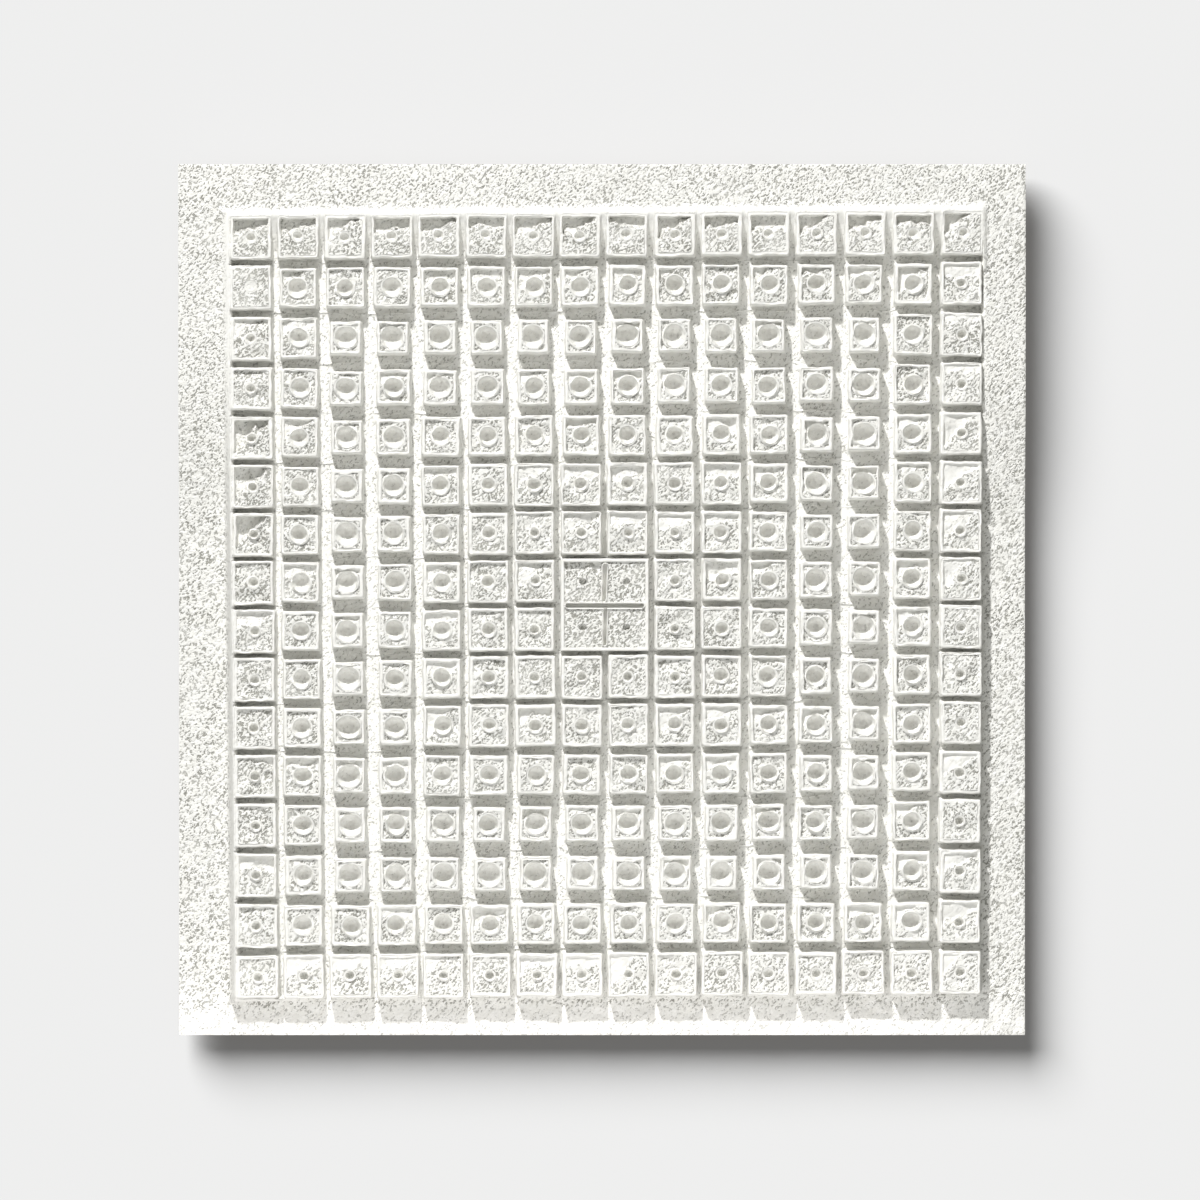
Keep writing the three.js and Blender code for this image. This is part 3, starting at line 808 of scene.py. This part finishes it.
def borderSheet(name, node, cornerPoint, countU, countV):
    # cornerPoint(u, v) gives x and z for two parameters from 0 to 1; v = 0 is the side that comes
    # first going clockwise. The panel's outer edges are eased by a small drop.
    u, v = np.meshgrid(np.linspace(0, 1, countU), np.linspace(0, 1, countV))
    x, z = cornerPoint(u, v)
    height, lip = groundHeight(x, z)
    grain = softNoise(x, z, 3.0 * mm, 51) + 0.7 * softNoise(x, z, 1.9 * mm, 52)
    toSide = np.minimum(x - panelLow.x, panelHigh.x - x)
    toEdge = np.minimum(toSide, np.minimum(z - panelLow.z, panelHigh.z - z))
    eased = border["edgeDrop"] * (1 - np.clip(toEdge / (1.2 * mm), 0, 1)) ** 2
    height = height + border["grain"] * grain * (1 - lip) * smoothStep(toEdge / (4 * mm)) - eased
    ids = np.arange(u.size).reshape(u.shape)
    faces = quadsOfGrid(ids)[:, ::-1].tolist()
    rim = rimOfGrid(ids)
    footShare = 1 - smoothStep(edgeDistances(x, z)[3] / (12 * mm) + 1)
    sand = ((1 - 0.97 * lip) * (1 - border["footFinish"] * footShare)).ravel()
    points, sand, faces = closeBehind(facePoints(x, z, height).reshape(-1, 3), sand, faces, rim)
    piece = newMesh(name, points, faces, sand)
    finishPiece(piece, "panel", [node], plaster)
    print(name + ":", len(points), "points")


def makeBorder():
    (tl, tr, bl, br) = fieldCorners
    step = border["gridStep"]
    alongX, alongZ = int((panelHigh.x - panelLow.x) / step), int((tl[1] - bl[1]) / step)

    def topLine(x):
        return mix(tl[1], tr[1], (x - tl[0]) / (tr[0] - tl[0]))

    def footLine(x):
        return mix(bl[1], br[1], (x - bl[0]) / (br[0] - bl[0]))

    def across(amount):
        return int(amount / step) + 2

    def top(u, v):
        x = mix(panelLow.x, panelHigh.x, u)
        return x, mix(panelHigh.z, topLine(x), v)

    def foot(u, v):
        x = mix(panelLow.x, panelHigh.x, u)
        return x, mix(footLine(x), panelLow.z, v)

    def left(u, v):
        x = mix(panelLow.x, mix(tl[0], bl[0], v), u)
        return x, mix(topLine(x), footLine(x), v)

    def right(u, v):
        x = mix(mix(tr[0], br[0], v), panelHigh.x, u)
        return x, mix(topLine(x), footLine(x), v)

    borderSheet("border_top", "margin_top", top, alongX, across(panelHigh.z - tl[1]))
    borderSheet("border_bottom", "margin_bottom", foot, alongX, across(bl[1] - panelLow.z))
    borderSheet("border_left", "margin_left", left, across(tl[0] - panelLow.x), alongZ)
    borderSheet("border_right", "margin_right", right, across(panelHigh.x - br[0]), alongZ)


makeBorder()


# Materials for the back.

def makeWoodGrain():
    # A sawn board cut from a trunk, its grain along the vector's X. Bands are the distance to a far
    # pith, bent by slow noise and pushed aside round each knot, as a saw tooth that rises slowly and
    # drops fast. Fibre is noise drawn out along the grain. Knots is 1 inside a knot.
    group, given, result = newGroup("woodGrain", {"Bands per Metre": 130.0}, ["Bands", "Fibre", "Knots"])
    vector = given["Vector"]
    shortened = mapped(vector, scale=(0.75, 1.0, 1.0))
    near = newNode(group, "TexVoronoi", Vector=shortened, Scale=6.5, Randomness=1.0).outputs["Distance"]
    push = rangeNode(near, 0.22, 0.0, 0.0, 0.035)
    slow = noiseNode(mapped(vector, scale=(0.12, 1.0, 1.0)), 9.0)
    parts = partsOf(vector)
    place = plus(parts["Z"], times(parts["Y"], 0.8))
    place = plus(plus(place, times(slow, 0.16)), push)
    tooth = mathNode("FRACT", times(place, given["Bands per Metre"]))
    bands = times(rangeNode(tooth, 0.15, 0.85), rangeNode(tooth, 1.0, 0.93))
    fibre = noiseNode(mapped(vector, scale=(0.02, 1.0, 1.0)), 1500.0, 2.0, 0.6)
    fill(result, Bands=bands, Fibre=fibre, Knots=rangeNode(near, 0.055, 0.035))
    return group


def makeHandling():
    # What handling leaves on any surface: broad smudges, fine specks of dust, and thin scratches.
    results = ["Smudges", "Specks", "Scratches"]
    group, given, result = newGroup("handling", {"Smudges per Metre": 14.0}, results)
    vector = given["Vector"]
    smudges = noiseNode(vector, given["Smudges per Metre"], 5.0, 0.6, 0.6)
    specks = noiseNode(vector, 950.0, 1.0)
    lines = noiseNode(mapped(vector, (20, 35, 10), (0.05, 1.0, 1.0)), 1700.0, 1.0)
    fill(result, Smudges=rangeNode(smudges, 0.42, 0.68), Specks=rangeNode(specks, 0.66, 0.74),
         Scratches=rangeNode(lines, 0.62, 0.70))
    return group


woodGrain = makeWoodGrain()
handling = makeHandling()

pineLook = {
    "early": (0.76, 0.57, 0.33),
    "late": (0.60, 0.38, 0.17),
    "knot": (0.17, 0.075, 0.03),
    "grime": (0.36, 0.25, 0.14),
    "bandsPerMetre": 150.0,
    "fibreDepth": 0.35 * mm,
}

boardLook = {
    "fibre": (0.36, 0.22, 0.115),
    "pale": (0.52, 0.36, 0.21),
    "dark": (0.17, 0.10, 0.05),
    "sealer": (0.80, 0.79, 0.75),
    "sealerReach": 9.0 * mm,     # the white sealer on the edges runs on to the back by about this much
}

steelLook = {
    "zinc": (0.60, 0.615, 0.63),
    "tint": (0.66, 0.60, 0.46),
    "dull": (0.34, 0.34, 0.34),
    "scratch": (0.85, 0.85, 0.85),
    "screw": (0.70, 0.56, 0.30),
    "roughness": 0.30,
}

rubberLook = {
    "black": (0.021, 0.021, 0.022),
    "dust": (0.22, 0.21, 0.20),
}


def layered(colour, mask, strength, over):
    # another colour laid over a colour where the mask is, and never stronger than the strength
    return mixColors(times(mask, strength), colour, over)


def makePine(name, turn):
    # turn brings the length of the wood to the grain's own X
    material, shader, coordinates = newMaterial(name)
    grain = useGroup(woodGrain, mapped(coordinates, turn), Bands_per_Metre=pineLook["bandsPerMetre"])
    worn = useGroup(handling, coordinates)
    colour = mixColors(grain["Bands"], pineLook["early"], pineLook["late"])
    colour = layered(colour, rangeNode(grain["Fibre"], 0.35, 0.75), 0.45, pineLook["late"])
    colour = mixColors(grain["Knots"], colour, pineLook["knot"])
    colour = layered(colour, worn["Smudges"], 0.22, pineLook["grime"])
    colour = layered(colour, worn["Specks"], 0.5, plasterLook["white"])
    sawn = bumpNode(grain["Bands"], 0.12 * mm)
    fill(shader, Base_Color=colour, Roughness=rangeNode(grain["Fibre"], 0.3, 0.7, 0.50, 0.72),
         Normal=bumpNode(grain["Fibre"], pineLook["fibreDepth"], Normal=sawn))
    return material


def makeFibreboard():
    # Pressed brown fibres, and the white sealer that was brushed round the outer edges.
    material, shader, coordinates = newMaterial("fibreboard")
    worn = useGroup(handling, coordinates, Smudges_per_Metre=6.0)
    fibres = noiseNode(mapped(coordinates, (0, 25, 0), (1.0, 1.0, 0.35)), 620.0, 3.0, 0.65, 0.8)
    clouds = noiseNode(coordinates, 22.0, 3.0, 0.6)
    colour = mixColors(rangeNode(fibres, 0.35, 0.70), boardLook["fibre"], boardLook["pale"])
    colour = mixColors(rangeNode(fibres, 0.40, 0.30), colour, boardLook["dark"])
    colour = layered(colour, clouds, 0.35, boardLook["fibre"])
    parts = partsOf(coordinates)
    sideX = minus(mathNode("ABSOLUTE", parts["X"]), panelHigh.x)
    sideZ = minus(mathNode("ABSOLUTE", parts["Z"]), panelHigh.z)
    brushed = times(noiseNode(coordinates, 70.0, 3.0, 0.7), boardLook["sealerReach"])
    fromEdge = plus(mathNode("MAXIMUM", sideX, sideZ), brushed)
    colour = mixColors(rangeNode(fromEdge, 0.0, 0.8 * mm), colour, boardLook["sealer"])
    colour = layered(colour, worn["Smudges"], 0.18, boardLook["dark"])
    colour = layered(colour, worn["Specks"], 0.6, plasterLook["white"])
    fill(shader, Base_Color=colour, Roughness=rangeNode(fibres, 0.3, 0.7, 0.62, 0.82),
         Normal=bumpNode(fibres, 0.25 * mm))
    return material


def makeSteel(name, base, tint):
    # Plated steel: bright, with broad dull smudges, a drifting tint and fine scratches.
    material, shader, coordinates = newMaterial(name)
    worn = useGroup(handling, coordinates, Smudges_per_Metre=90.0)
    colour = mixColors(rangeNode(noiseNode(coordinates, 160.0), 0.40, 0.65), base, tint)
    colour = layered(colour, worn["Smudges"], 0.45, steelLook["dull"])
    colour = layered(colour, worn["Scratches"], 0.5, steelLook["scratch"])
    grit = noiseNode(coordinates, 2600.0)
    scratched = bumpNode(worn["Scratches"], 0.02 * mm)
    dulled = plus(times(worn["Smudges"], 0.22), steelLook["roughness"])
    fill(shader, Base_Color=colour, Metallic=1.0, Roughness=dulled,
         Normal=bumpNode(grit, 0.03 * mm, Normal=scratched))
    return material


def makeRubber():
    material, shader, coordinates = newMaterial("rubber")
    worn = useGroup(handling, coordinates, Smudges_per_Metre=120.0)
    colour = mixColors(times(worn["Smudges"], 0.16), rubberLook["black"], rubberLook["dust"])
    colour = layered(colour, worn["Specks"], 0.5, plasterLook["white"])
    pores = noiseNode(coordinates, 2200.0, 3.0, 0.6)
    fill(shader, Base_Color=colour, Roughness=rangeNode(pores, 0.3, 0.7, 0.62, 0.82),
         Normal=bumpNode(pores, 0.12 * mm))
    return material


pineAcross = makePine("pineAcross", (0, 0, 0))
pineUpright = makePine("pineUpright", (0, 90, 0))
pineBlock = makePine("pineBlock", (0, 45, 0))
fibreboard = makeFibreboard()
zincSteel = makeSteel("zincSteel", steelLook["zinc"], steelLook["tint"])
screwSteel = makeSteel("yellowZinc", steelLook["screw"], steelLook["tint"])
rubber = makeRubber()
print("materials for the back are ready")


# The board and its cradle.

joinery = {
    "boardEdge": 0.7 * mm,     # how far the sawn edges are rounded
    "railEdge": 1.1 * mm,
    "blockEdge": 0.8 * mm,
    "support": 0.5 * mm,       # a line this far from each rounding keeps the flats flat
    "steps": 4,
}


def roundedOutline(corners, inset, radius):
    # A polygon (counter-clockwise) moved inwards by the inset, each corner an arc of the radius, and one
    # more point on the straight to either side. An arc's middle lies on the corner's bisector.
    before = corners - np.roll(corners, 1, axis=0)
    after = np.roll(before, -1, axis=0)
    before = before / np.linalg.norm(before, axis=1, keepdims=True)
    after = after / np.linalg.norm(after, axis=1, keepdims=True)
    normalBefore = np.stack([before[:, 1], -before[:, 0]], axis=1)
    normalAfter = np.stack([after[:, 1], -after[:, 0]], axis=1)
    cosine = np.sum(normalBefore * normalAfter, axis=1, keepdims=True)
    middle = corners - (inset + radius) * (normalBefore + normalAfter) / (1 + cosine)
    share = np.linspace(0, 1, joinery["steps"] + 1)
    angle = np.arctan2(normalBefore[:, 1:], normalBefore[:, :1]) + np.arccos(cosine) * share
    arc = middle[:, None] + radius * np.stack([np.cos(angle), np.sin(angle)], axis=-1)
    first = arc[:, :1] - joinery["support"] * before[:, None]
    last = arc[:, -1:] + joinery["support"] * after[:, None]
    return np.concatenate([first, arc, last], axis=1).reshape(-1, 2)


def makePrism(name, corners, axis, start, end, edge):
    # A polygon carried along an axis, with all its edges rounded: near each end the outline is drawn
    # in along a quarter circle.
    t = np.linspace(math.pi / 2, 0, joinery["steps"] + 1)
    along = np.concatenate([[0], edge * (1 - np.sin(t)), [edge + joinery["support"]]])
    inset = np.concatenate([[edge + joinery["support"]], edge * (1 - np.cos(t)), [0]])
    rings = [roundedOutline(corners, i, max(edge - i, 0.05 * mm)) for i in inset]
    outline = np.array(rings + rings[::-1])
    place = np.concatenate([start + along, end - along[::-1]])
    points = np.zeros(outline.shape[:2] + (3,))
    u, v = [k for k in range(3) if k != axis]
    points[..., axis] = place[:, None]
    points[..., u] = outline[..., 0]
    points[..., v] = outline[..., 1]
    return closedRings(name, points)


def closedRings(name, points):
    # A stack of closed rings of points, joined by quads and capped at both ends, faces outwards
    rings, count = points.shape[:2]
    ids = np.arange(rings * count).reshape(rings, count)
    faces = quadsOfGrid(np.concatenate([ids, ids[:, :1]], axis=1)).tolist()
    faces += [ids[0, ::-1].tolist(), ids[-1].tolist()]
    piece = newMesh(name, points.reshape(-1, 3), faces)
    turned = bmesh.new()
    turned.from_mesh(piece.data)
    if turned.calc_volume(signed=True) < 0:
        bmesh.ops.reverse_faces(turned, faces=turned.faces[:])
    turned.to_mesh(piece.data)
    turned.free()
    return piece


def makeBar(pieceName, node, axis, edge, material):
    low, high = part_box(node)
    u, v = [k for k in range(3) if k != axis]
    corners = np.array([(low[u], low[v]), (high[u], low[v]), (high[u], high[v]), (low[u], high[v])])
    piece = makePrism(pieceName, corners, axis, low[axis], high[axis], edge)
    finishPiece(piece, "panel", [node], material, 40)


def makeCornerBlock(node, sideX, sideZ):
    # a right-angled triangle that fills an inside corner of the cradle
    low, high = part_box(node)
    x0, x1 = (high.x, low.x) if sideX > 0 else (low.x, high.x)
    z0, z1 = (high.z, low.z) if sideZ > 0 else (low.z, high.z)
    corners = np.array([(x0, z0), (x1, z0), (x0, z1)])
    if sideX * sideZ < 0:
        corners = corners[::-1]
    piece = makePrism("pine_" + node, corners, 1, low.y, high.y, joinery["blockEdge"])
    finishPiece(piece, "panel", [node], pineBlock, 40)


def makeCradle():
    makeBar("backing_board", "face_board", 2, joinery["boardEdge"], fibreboard)
    for node in ["rail_top", "rail_bottom", "brace_left", "brace_right"]:
        makeBar("pine_" + node, node, 0, joinery["railEdge"], pineAcross)
    for node in ["rail_left", "rail_right", "brace_vertical"]:
        makeBar("pine_" + node, node, 2, joinery["railEdge"], pineUpright)
    for level, sideZ in [("top", 1), ("bottom", -1)]:
        for hand, sideX in [("left", -1), ("right", 1)]:
            makeCornerBlock("corner_block_" + level + "_" + hand, sideX, sideZ)
    print("board and cradle are in place")


makeCradle()


# Hangers, screws and bumpers.

hanger = {
    "cornerRadius": 4.0 * mm,    # of the ring's wire
    "jointGap": 0.8 * mm,
    "strapThickness": 1.5 * mm,
    "strapEdge": 0.35 * mm,
    "curlEnd": -50.0,            # degrees below the level
    "headRadius": 3.4 * mm,
    "headRise": 0.75 * mm,       # of the rounded heads above the strap
    "recessLength": 4.4 * mm,
    "recessWidth": 0.95 * mm,
    "recessDepth": 1.3 * mm,
}


def carry(name, path, outward, section):
    # A closed section carried along a path that lies in one plane. At each point the section's first
    # axis is the outward normal and its second axis is the plane's own normal.
    side = np.cross(np.gradient(path, axis=0), outward)
    side = side / np.linalg.norm(side, axis=1, keepdims=True)
    points = path[:, None] + side[:, None] * section[None, :, :1] + outward * section[None, :, 1:]
    return closedRings(name, points)


def arcPoints(middleU, middleV, radius, first, last, count):
    angle = np.radians(np.linspace(first, last, count))
    return np.stack([middleU + radius * np.cos(angle), middleV + radius * np.sin(angle)], axis=1)


def makeRing(hand):
    # The wire's path: out of the curl, round a corner, down an arm, round the bow and back again.
    low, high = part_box("hanger_ring_" + hand)
    radius = (high.y - low.y) / 2
    halfWidth, corner = (high.x - low.x) / 2 - radius, hanger["cornerRadius"]
    top, foot = -radius, (low.z - high.z) + radius + halfWidth
    right = np.concatenate([
        np.stack([np.linspace(hanger["jointGap"] / 2, halfWidth - corner, 12), np.full(12, top)], axis=1),
        arcPoints(halfWidth - corner, top - corner, corner, 90, 0, 12)[1:],
        np.stack([np.full(8, halfWidth), np.linspace(top - corner, foot, 9)[1:]], axis=1),
        arcPoints(0, foot, halfWidth, 0, -90, 32)[1:],
    ])
    left = right[-2::-1] * np.array([-1, 1])
    flat = np.concatenate([right, left])
    middleX, middleY, _ = middleOf(low, high)
    path = np.stack([middleX + flat[:, 0], np.full(len(flat), middleY), high.z + flat[:, 1]], axis=1)
    section = np.stack(polar(radius, 16), axis=1)
    ring = carry("wire_ring_" + hand, path, np.array([0.0, 1.0, 0.0]), section)
    finishPiece(ring, "ring_" + hand, ["hanger_ring_" + hand], zincSteel, 60)


def makeStrap(hand):
    # The strap's path is the middle of its sheet: up the rail, and over the ring's bar in a curl.
    low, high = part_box("hanger_strap_" + hand)
    ringLow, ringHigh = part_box("hanger_ring_" + hand)
    thick = hanger["strapThickness"]
    pivotY = (ringLow.y + ringHigh.y) / 2
    pivotZ = ringHigh.z - (ringHigh.y - ringLow.y) / 2
    radius = pivotY - low.y - thick / 2
    straight = np.stack([np.full(20, low.y + thick / 2), np.linspace(low.z, pivotZ, 21)[:-1]], axis=1)
    curl = arcPoints(pivotY, pivotZ, radius, 180, hanger["curlEnd"], 36)
    flat = np.concatenate([straight, curl])
    path = np.stack([np.full(len(flat), (low.x + high.x) / 2), flat[:, 0], flat[:, 1]], axis=1)
    halfWidth = (high.x - low.x) / 2
    corners = np.array([(-1, -1), (1, -1), (1, 1), (-1, 1)]) * [thick / 2, halfWidth]
    section = roundedOutline(corners, 0, hanger["strapEdge"])
    strap = carry("steel_strap_" + hand, path, np.array([1.0, 0.0, 0.0]), section)
    finishPiece(strap, "panel", ["hanger_strap_" + hand], zincSteel, 40)


def makeHangerScrew(hand, number):
    # The head is a low dome over a polar grid, less a crossed recess; under it come a short cone,
    # the shank and the tip.
    node = "hanger_screw_%s_%d" % (hand, number)
    low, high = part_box(node)
    middleX, _, middleZ = middleOf(low, high)
    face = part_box("hanger_strap_" + hand)[0].y + hanger["strapThickness"]
    radius = hanger["headRadius"] * np.linspace(0.03, 1, 26)[:, None]
    u, v = polar(radius, 48)
    dome = hanger["headRise"] * (1 - (radius / hanger["headRadius"]) ** 2.4) + 0.05 * mm
    halfSlot, reach = hanger["recessWidth"] / 2, hanger["recessLength"] / 2
    armU = np.maximum(abs(v) - halfSlot, abs(u) - reach)
    armV = np.maximum(abs(u) - halfSlot, abs(v) - reach)
    cut = smoothStep(0.5 - np.minimum(armU, armV) / (0.3 * mm))
    cut = cut * (1 - 0.6 * (radius / reach) ** 2 * (radius < reach))
    level = face + dome + 0 * u - hanger["recessDepth"] * cut
    tip = low.y - face
    shank = np.array([(hanger["headRadius"], -0.1 * mm), (1.8 * mm, -1.8 * mm),
                      (1.75 * mm, tip + 4 * mm), (0.2 * mm, tip)])
    shankU, shankV = polar(shank[:, :1], 48)
    u, v = np.concatenate([u, shankU]), np.concatenate([v, shankV])
    level = np.concatenate([level, face + shank[:, 1:] + 0 * shankU])
    points = np.stack([middleX + u, level, middleZ + v], axis=-1)
    screw = closedRings("steel_" + node, points)
    finishPiece(screw, "panel", [node], screwSteel, 50)


bumper = {
    "edge": 1.4 * mm,
    "dishRadius": 6.0 * mm,
    "dishDepth": 0.9 * mm,
    "boreRadius": 2.2 * mm,
    "boreDepth": 3.5 * mm,
}


def makeBumper(node):
    # A profile turned about the bumper's own axis: a tapering wall, a rounded edge, a shallow dish
    # and the bore for its nail.
    low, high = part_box(node)
    middleX, _, middleZ = middleOf(low, high)
    footRadius, tipRadius = (high.x - low.x) / 2, (high.x - low.x) / 2 - 1.5 * mm
    edge, dish = bumper["edge"], bumper["dishRadius"]
    arc = arcPoints(tipRadius - edge, high.y - edge, edge, 4, 90, 8)
    slope = np.linspace(1, 0, 8)[:, None]
    hollow = np.concatenate([dish * slope + bumper["boreRadius"] * (1 - slope),
                             high.y - bumper["dishDepth"] * smoothStep(1 - slope)], axis=1)
    bore = [(bumper["boreRadius"], high.y - bumper["boreDepth"]), (0.1 * mm, high.y - bumper["boreDepth"])]
    foot = [(0.1 * mm, low.y), (footRadius - 0.3 * mm, low.y), (footRadius, low.y + 0.3 * mm)]
    profile = np.concatenate([foot, arc, hollow, bore])
    u, v = polar(profile[:, :1], 64)
    points = np.stack([middleX + u, profile[:, 1:] + 0 * u, middleZ + v], axis=-1)
    piece = closedRings("rubber_" + node, points)
    finishPiece(piece, "panel", [node], rubber, 40)


def makeHardware():
    for hand in ["left", "right"]:
        makeRing(hand)
        makeStrap(hand)
        makeHangerScrew(hand, 1)
        makeHangerScrew(hand, 2)
        for level in ["top", "bottom"]:
            makeBumper("wall_bumper_" + level + "_" + hand)
    # the board's screws keep their own shapes, under the plaster
    for i in range(8):
        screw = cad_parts["board_screw_%d" % (i + 1)]
        screw.data.materials.clear()
        screw.data.materials.append(screwSteel)
    print("hangers, screws and bumpers are in place")


makeHardware()


# Wall, light and camera.

stage = {
    "wallColour": (0.16, 0.16, 0.16),
    "wallHalf": 4.0,             # half its width, in metres
    "wallGlow": 0.10,           # an even part of the wall's light, which the panel doesn't shade
    "wallSun": 22.0,
    "wallSunAngle": 42.0,        # degrees across: as wide as a large soft box
    "wallSunLean": (0.70, -1.0),  # how far its shadows move right and down for each metre of depth
    "keyColour": (1.0, 0.995, 0.985),
    "keyPower": 45.0,
    "keyFrom": (-0.50, -1.40, 1.84),
    "keySize": 0.07,
    "footPower": 0.17,
    "footSize": (0.9, 0.03),
    "footColour": (1.0, 0.955, 0.94),
    "fillPower": 10.0,           # from below
    "fillSize": 0.8,
    "ambient": (0.98, 0.98, 0.93),
    "ambientStrength": 0.33,
    "backdrop": (0.863, 0.863, 0.863),
    "backPower": 26.0,
    "backSize": 1.6,
    "lens": 200.0,
    "viewWidth": 1.1321,         # what the camera sees at the face, in metres
    "cameraX": -1.9 * mm,
}


def makeWall():
    # The wall shows from the front only, so that the panel's back can be seen from behind it.
    half = stage["wallHalf"]
    mesh = bpy.data.meshes.new("wall")
    corners = [(-half, wallY, -half), (half, wallY, -half), (half, wallY, half), (-half, wallY, half)]
    mesh.from_pydata(corners, [], [(0, 1, 2, 3)])
    wall = linked("wall", mesh)
    material, shader, _ = newMaterial("paleWall")
    fill(shader, Base_Color=stage["wallColour"], Roughness=1.0, Specular_IOR_Level=0.0,
         Emission_Color=(1, 1, 1), Emission_Strength=stage["wallGlow"])
    tree = material.node_tree
    clear = newNode(tree, "BsdfTransparent").outputs["BSDF"]
    backfacing = newNode(tree, "NewGeometry").outputs["Backfacing"]
    either = mixShaders(backfacing, shader.outputs["BSDF"], clear)
    fill(tree.nodes["Material Output"], Surface=either)
    mesh.materials.append(material)
    wall.visible_shadow = wall.visible_diffuse = wall.visible_glossy = False
    return wall


def receivers(name, wall, state):
    # the objects that a lamp lights: the wall alone, or all but the wall
    group = bpy.data.collections.new(name)
    group.objects.link(wall)
    group.collection_objects[0].light_linking.link_state = state
    return group


def makeLamp(name, kind, power, place, target, lit, colour=(1, 1, 1)):
    # a lamp whose own -Z points from its place to the target
    data = bpy.data.lights.new(name, kind)
    data.energy = power
    data.color = colour
    lamp = linked(name, data)
    lamp.location = place
    lamp.rotation_euler = (Vector(target) - Vector(place)).to_track_quat("-Z", "Y").to_euler()
    lamp.light_linking.receiver_collection = lit
    lamp.visible_camera = kind != "AREA"
    return data


def makeLights(wall):
    # The key light is a small lamp above and to the left, near enough that its direction changes
    # across the panel, and its strength is kept the same at every distance. The wall has a wide soft
    # light of its own.
    wallOnly = receivers("wallOnly", wall, "INCLUDE")
    notWall = receivers("notWall", wall, "EXCLUDE")
    middle = (0, 0, 0)
    key = makeLamp("key", "POINT", stage["keyPower"], stage["keyFrom"], middle, notWall, stage["keyColour"])
    key.shadow_soft_size = stage["keySize"]
    key.use_nodes = True
    falloff = newNode(key.node_tree, "LightFalloff", Strength=1.0)
    fill(key.node_tree.nodes["Emission"], Strength=falloff.outputs["Constant"])

    right, down = stage["wallSunLean"]
    sun = makeLamp("wallLight", "SUN", stage["wallSun"], (-right, -1, -down), middle, wallOnly)
    sun.angle = math.radians(stage["wallSunAngle"])

    # a low strip in front of the foot lifts the shadows on the bottom border
    foot = makeLamp("footLight", "AREA", stage["footPower"], (-0.1, groundY - 0.06, panelLow.z - 0.03),
                    (-0.1, groundY, panelLow.z + 0.02), notWall, stage["footColour"])
    foot.shape = "RECTANGLE"
    foot.size, foot.size_y = stage["footSize"]
    low = makeLamp("lowFill", "AREA", stage["fillPower"], (-0.1, -1.3, -1.5), (0, groundY, -0.3), notWall)
    low.size = stage["fillSize"]
    for name, place, share in [("backLeft", (1.4, 2.6, 1.6), 1.0), ("backRight", (-1.6, 2.2, 0.2), 0.5)]:
        back = makeLamp(name, "AREA", stage["backPower"] * share, place, middle, notWall)
        back.size = stage["backSize"]


def makeRoom():
    # the camera sees an even backdrop, and everything else is lit by the ambient colour
    world = bpy.data.worlds.new("room")
    bpy.context.scene.world = world
    world.use_nodes = True
    tree = world.node_tree
    tree.nodes.clear()
    seen = newNode(tree, "Background", Color=stage["backdrop"])
    lit = newNode(tree, "Background", Color=stage["ambient"], Strength=stage["ambientStrength"])
    seenByCamera = newNode(tree, "LightPath").outputs["Is Camera Ray"]
    either = mixShaders(seenByCamera, lit.outputs["Background"], seen.outputs["Background"])
    newNode(tree, "OutputWorld", Surface=either)


def makeCamera():
    data = bpy.data.cameras.new("camera")
    data.lens = stage["lens"]
    data.sensor_width = 36.0
    distance = stage["viewWidth"] * data.lens / data.sensor_width
    camera = linked("camera", data)
    camera.location = (stage["cameraX"], tileLow.y - distance, 0)
    camera.rotation_euler = (math.pi / 2, 0, 0)
    data.clip_end = 100.0
    bpy.context.scene.camera = camera


makeLights(makeWall())
makeRoom()
makeCamera()
bpy.context.scene.view_settings.view_transform = "Standard"
bpy.context.scene.view_settings.look = "None"
print("wall, lights and camera are ready")
